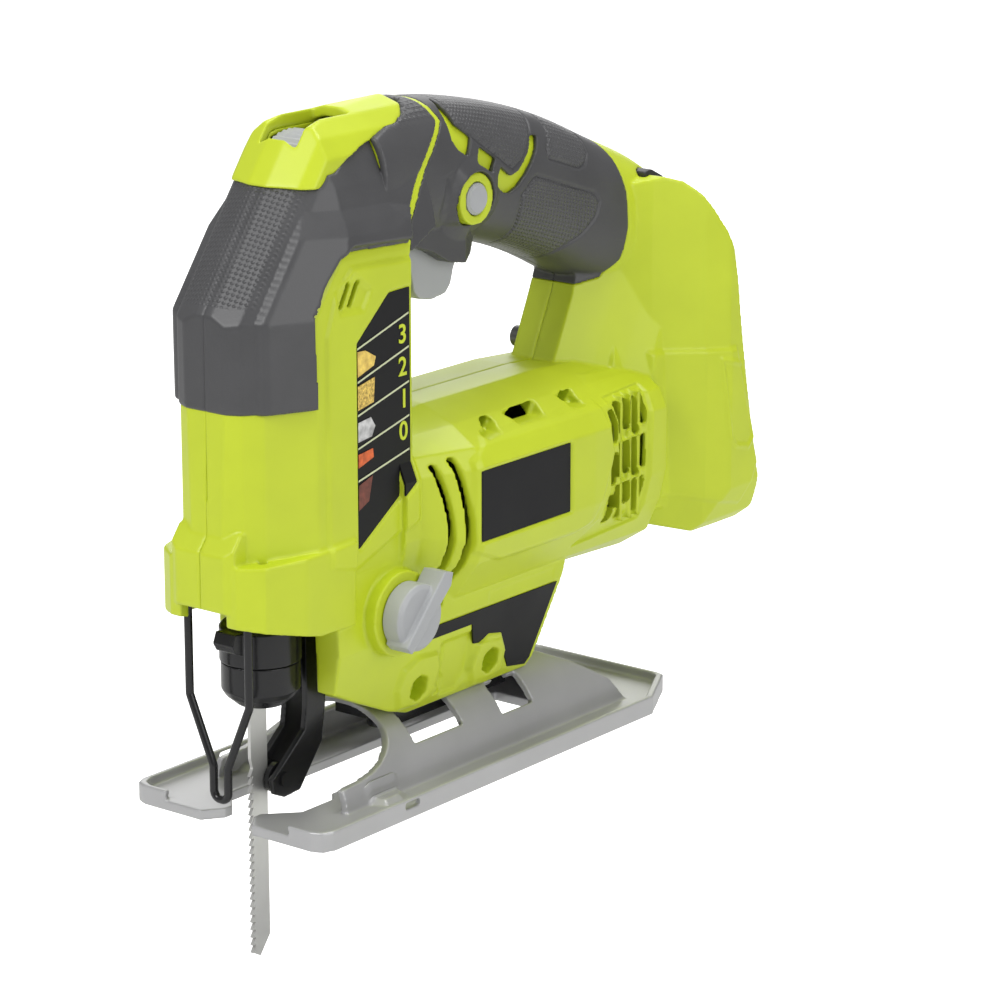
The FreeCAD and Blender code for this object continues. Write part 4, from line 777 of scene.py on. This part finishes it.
for digit, (x, z) in scale["digits"].items():
    clearSelection()
    spot = (x * mm, scale["seat"] * mm, z * mm)
    bpy.ops.object.text_add(location=spot, rotation=(radians(90), 0, radians(180)))
    mark = bpy.context.object
    mark.name = "digit" + digit
    mark.data.body = digit
    mark.data.size = scale["digitSize"] * mm
    mark.data.extrude = scale["digitHalf"] * mm
    mark.data.offset = scale["digitWeight"] * mm
    bpy.ops.object.convert(target="MESH")
    layDown(mark)
    marks.append(mark)
for number, ((x0, z0), (x1, z1)) in enumerate(scale["rules"]):
    half = scale["ruleWidth"]
    strip = [(x0, z0 - half), (x0, z0 + half), (x1, z1 + half), (x1, z1 - half)]
    low = scale["seat"] - scale["ruleRise"]
    high = scale["seat"] + scale["ruleRise"]
    marks.append(slab("rule%d" % number, strip, low, high))
for mark in marks:
    finish = finishes["markLime"] if mark.name.startswith("digit") else finishes["markWhite"]
    settle(mark, "body", "label_film", finish)
for name, (outline, finishName) in scale["swatches"].items():
    swatch = slab(name, outline, scale["seat"] - scale["swatchSink"], scale["seat"] + scale["swatchRise"])
    settle(swatch, "body", "label_film", finishes[finishName])
print("speed scale drawn")


# floor, lamps and camera

studio = {"floorLow": -0.0475, "floorSize": 12, "worldFill": 0.34, "floorGlow": 0.78}

clearSelection()
bpy.ops.mesh.primitive_plane_add(size=studio["floorSize"], location=(0, 0, studio["floorLow"]))
floor = bpy.context.object
floor.name = "studioFloor"
floorFinish = bpy.data.materials.new("paleFloor")
floorFinish.use_nodes = True
floorTree = floorFinish.node_tree
floorShader = floorTree.nodes["Principled BSDF"]
floorShader.inputs["Base Color"].default_value = (0.82, 0.82, 0.82, 1)
floorShader.inputs["Roughness"].default_value = 0.9
floorShader.inputs["Emission Color"].default_value = (1, 1, 1, 1)
floorPath = floorTree.nodes.new("ShaderNodeLightPath")
floorGlow = floorTree.nodes.new("ShaderNodeMath")
floorGlow.operation = "MULTIPLY"
floorGlow.inputs[1].default_value = studio["floorGlow"]
floorTree.links.new(floorPath.outputs["Is Camera Ray"], floorGlow.inputs[0])
floorTree.links.new(floorGlow.outputs[0], floorShader.inputs["Emission Strength"])
paint(floor, floorFinish)

world = bpy.data.worlds.new("studio")
bpy.context.scene.world = world
world.use_nodes = True
worldTree = world.node_tree
plainSky = worldTree.nodes["Background"]
plainSky.inputs["Color"].default_value = (1, 1, 1, 1)
plainSky.inputs["Strength"].default_value = studio["worldFill"]
whiteSky = worldTree.nodes.new("ShaderNodeBackground")
whiteSky.inputs["Color"].default_value = (1, 1, 1, 1)
whiteSky.inputs["Strength"].default_value = 1
skyPath = worldTree.nodes.new("ShaderNodeLightPath")
skyMix = worldTree.nodes.new("ShaderNodeMixShader")
skyOut = worldTree.nodes["World Output"]
worldTree.links.new(skyPath.outputs["Is Camera Ray"], skyMix.inputs["Fac"])
worldTree.links.new(plainSky.outputs[0], skyMix.inputs[1])
worldTree.links.new(whiteSky.outputs[0], skyMix.inputs[2])
worldTree.links.new(skyMix.outputs[0], skyOut.inputs["Surface"])

aim = Vector((-0.07, 0, 0.1))
lamps = {
    "keyLamp": ((0.95, -0.15, 0.95), 0.6, 9.0),
    "sideLamp": ((0.05, 1.25, 0.55), 0.8, 5.5),
    "topLamp": ((-0.35, 0.1, 1.25), 0.7, 8.0),
    "rearLamp": ((-1.0, -0.8, 0.6), 0.9, 4.0),
}
for name, (spot, size, power) in lamps.items():
    lamp = bpy.data.lights.new(name, "AREA")
    lamp.shape = "SQUARE"
    lamp.size = size
    lamp.energy = power
    holder = bpy.data.objects.new(name, lamp)
    holder.location = spot
    holder.rotation_euler = (aim - Vector(spot)).to_track_quat("-Z", "Y").to_euler()
    bpy.context.scene.collection.objects.link(holder)

lens = bpy.data.cameras.new("studioCamera")
lens.lens = 135
lens.sensor_width = 36
camera = bpy.data.objects.new("studioCamera", lens)
camera.location = (0.8078, 0.7253, 0.3984)
camera.rotation_euler = (radians(74.6), 0, radians(128))
bpy.context.scene.collection.objects.link(camera)
bpy.context.scene.camera = camera
bpy.context.scene.view_settings.view_transform = "Standard"

print("scene ready")
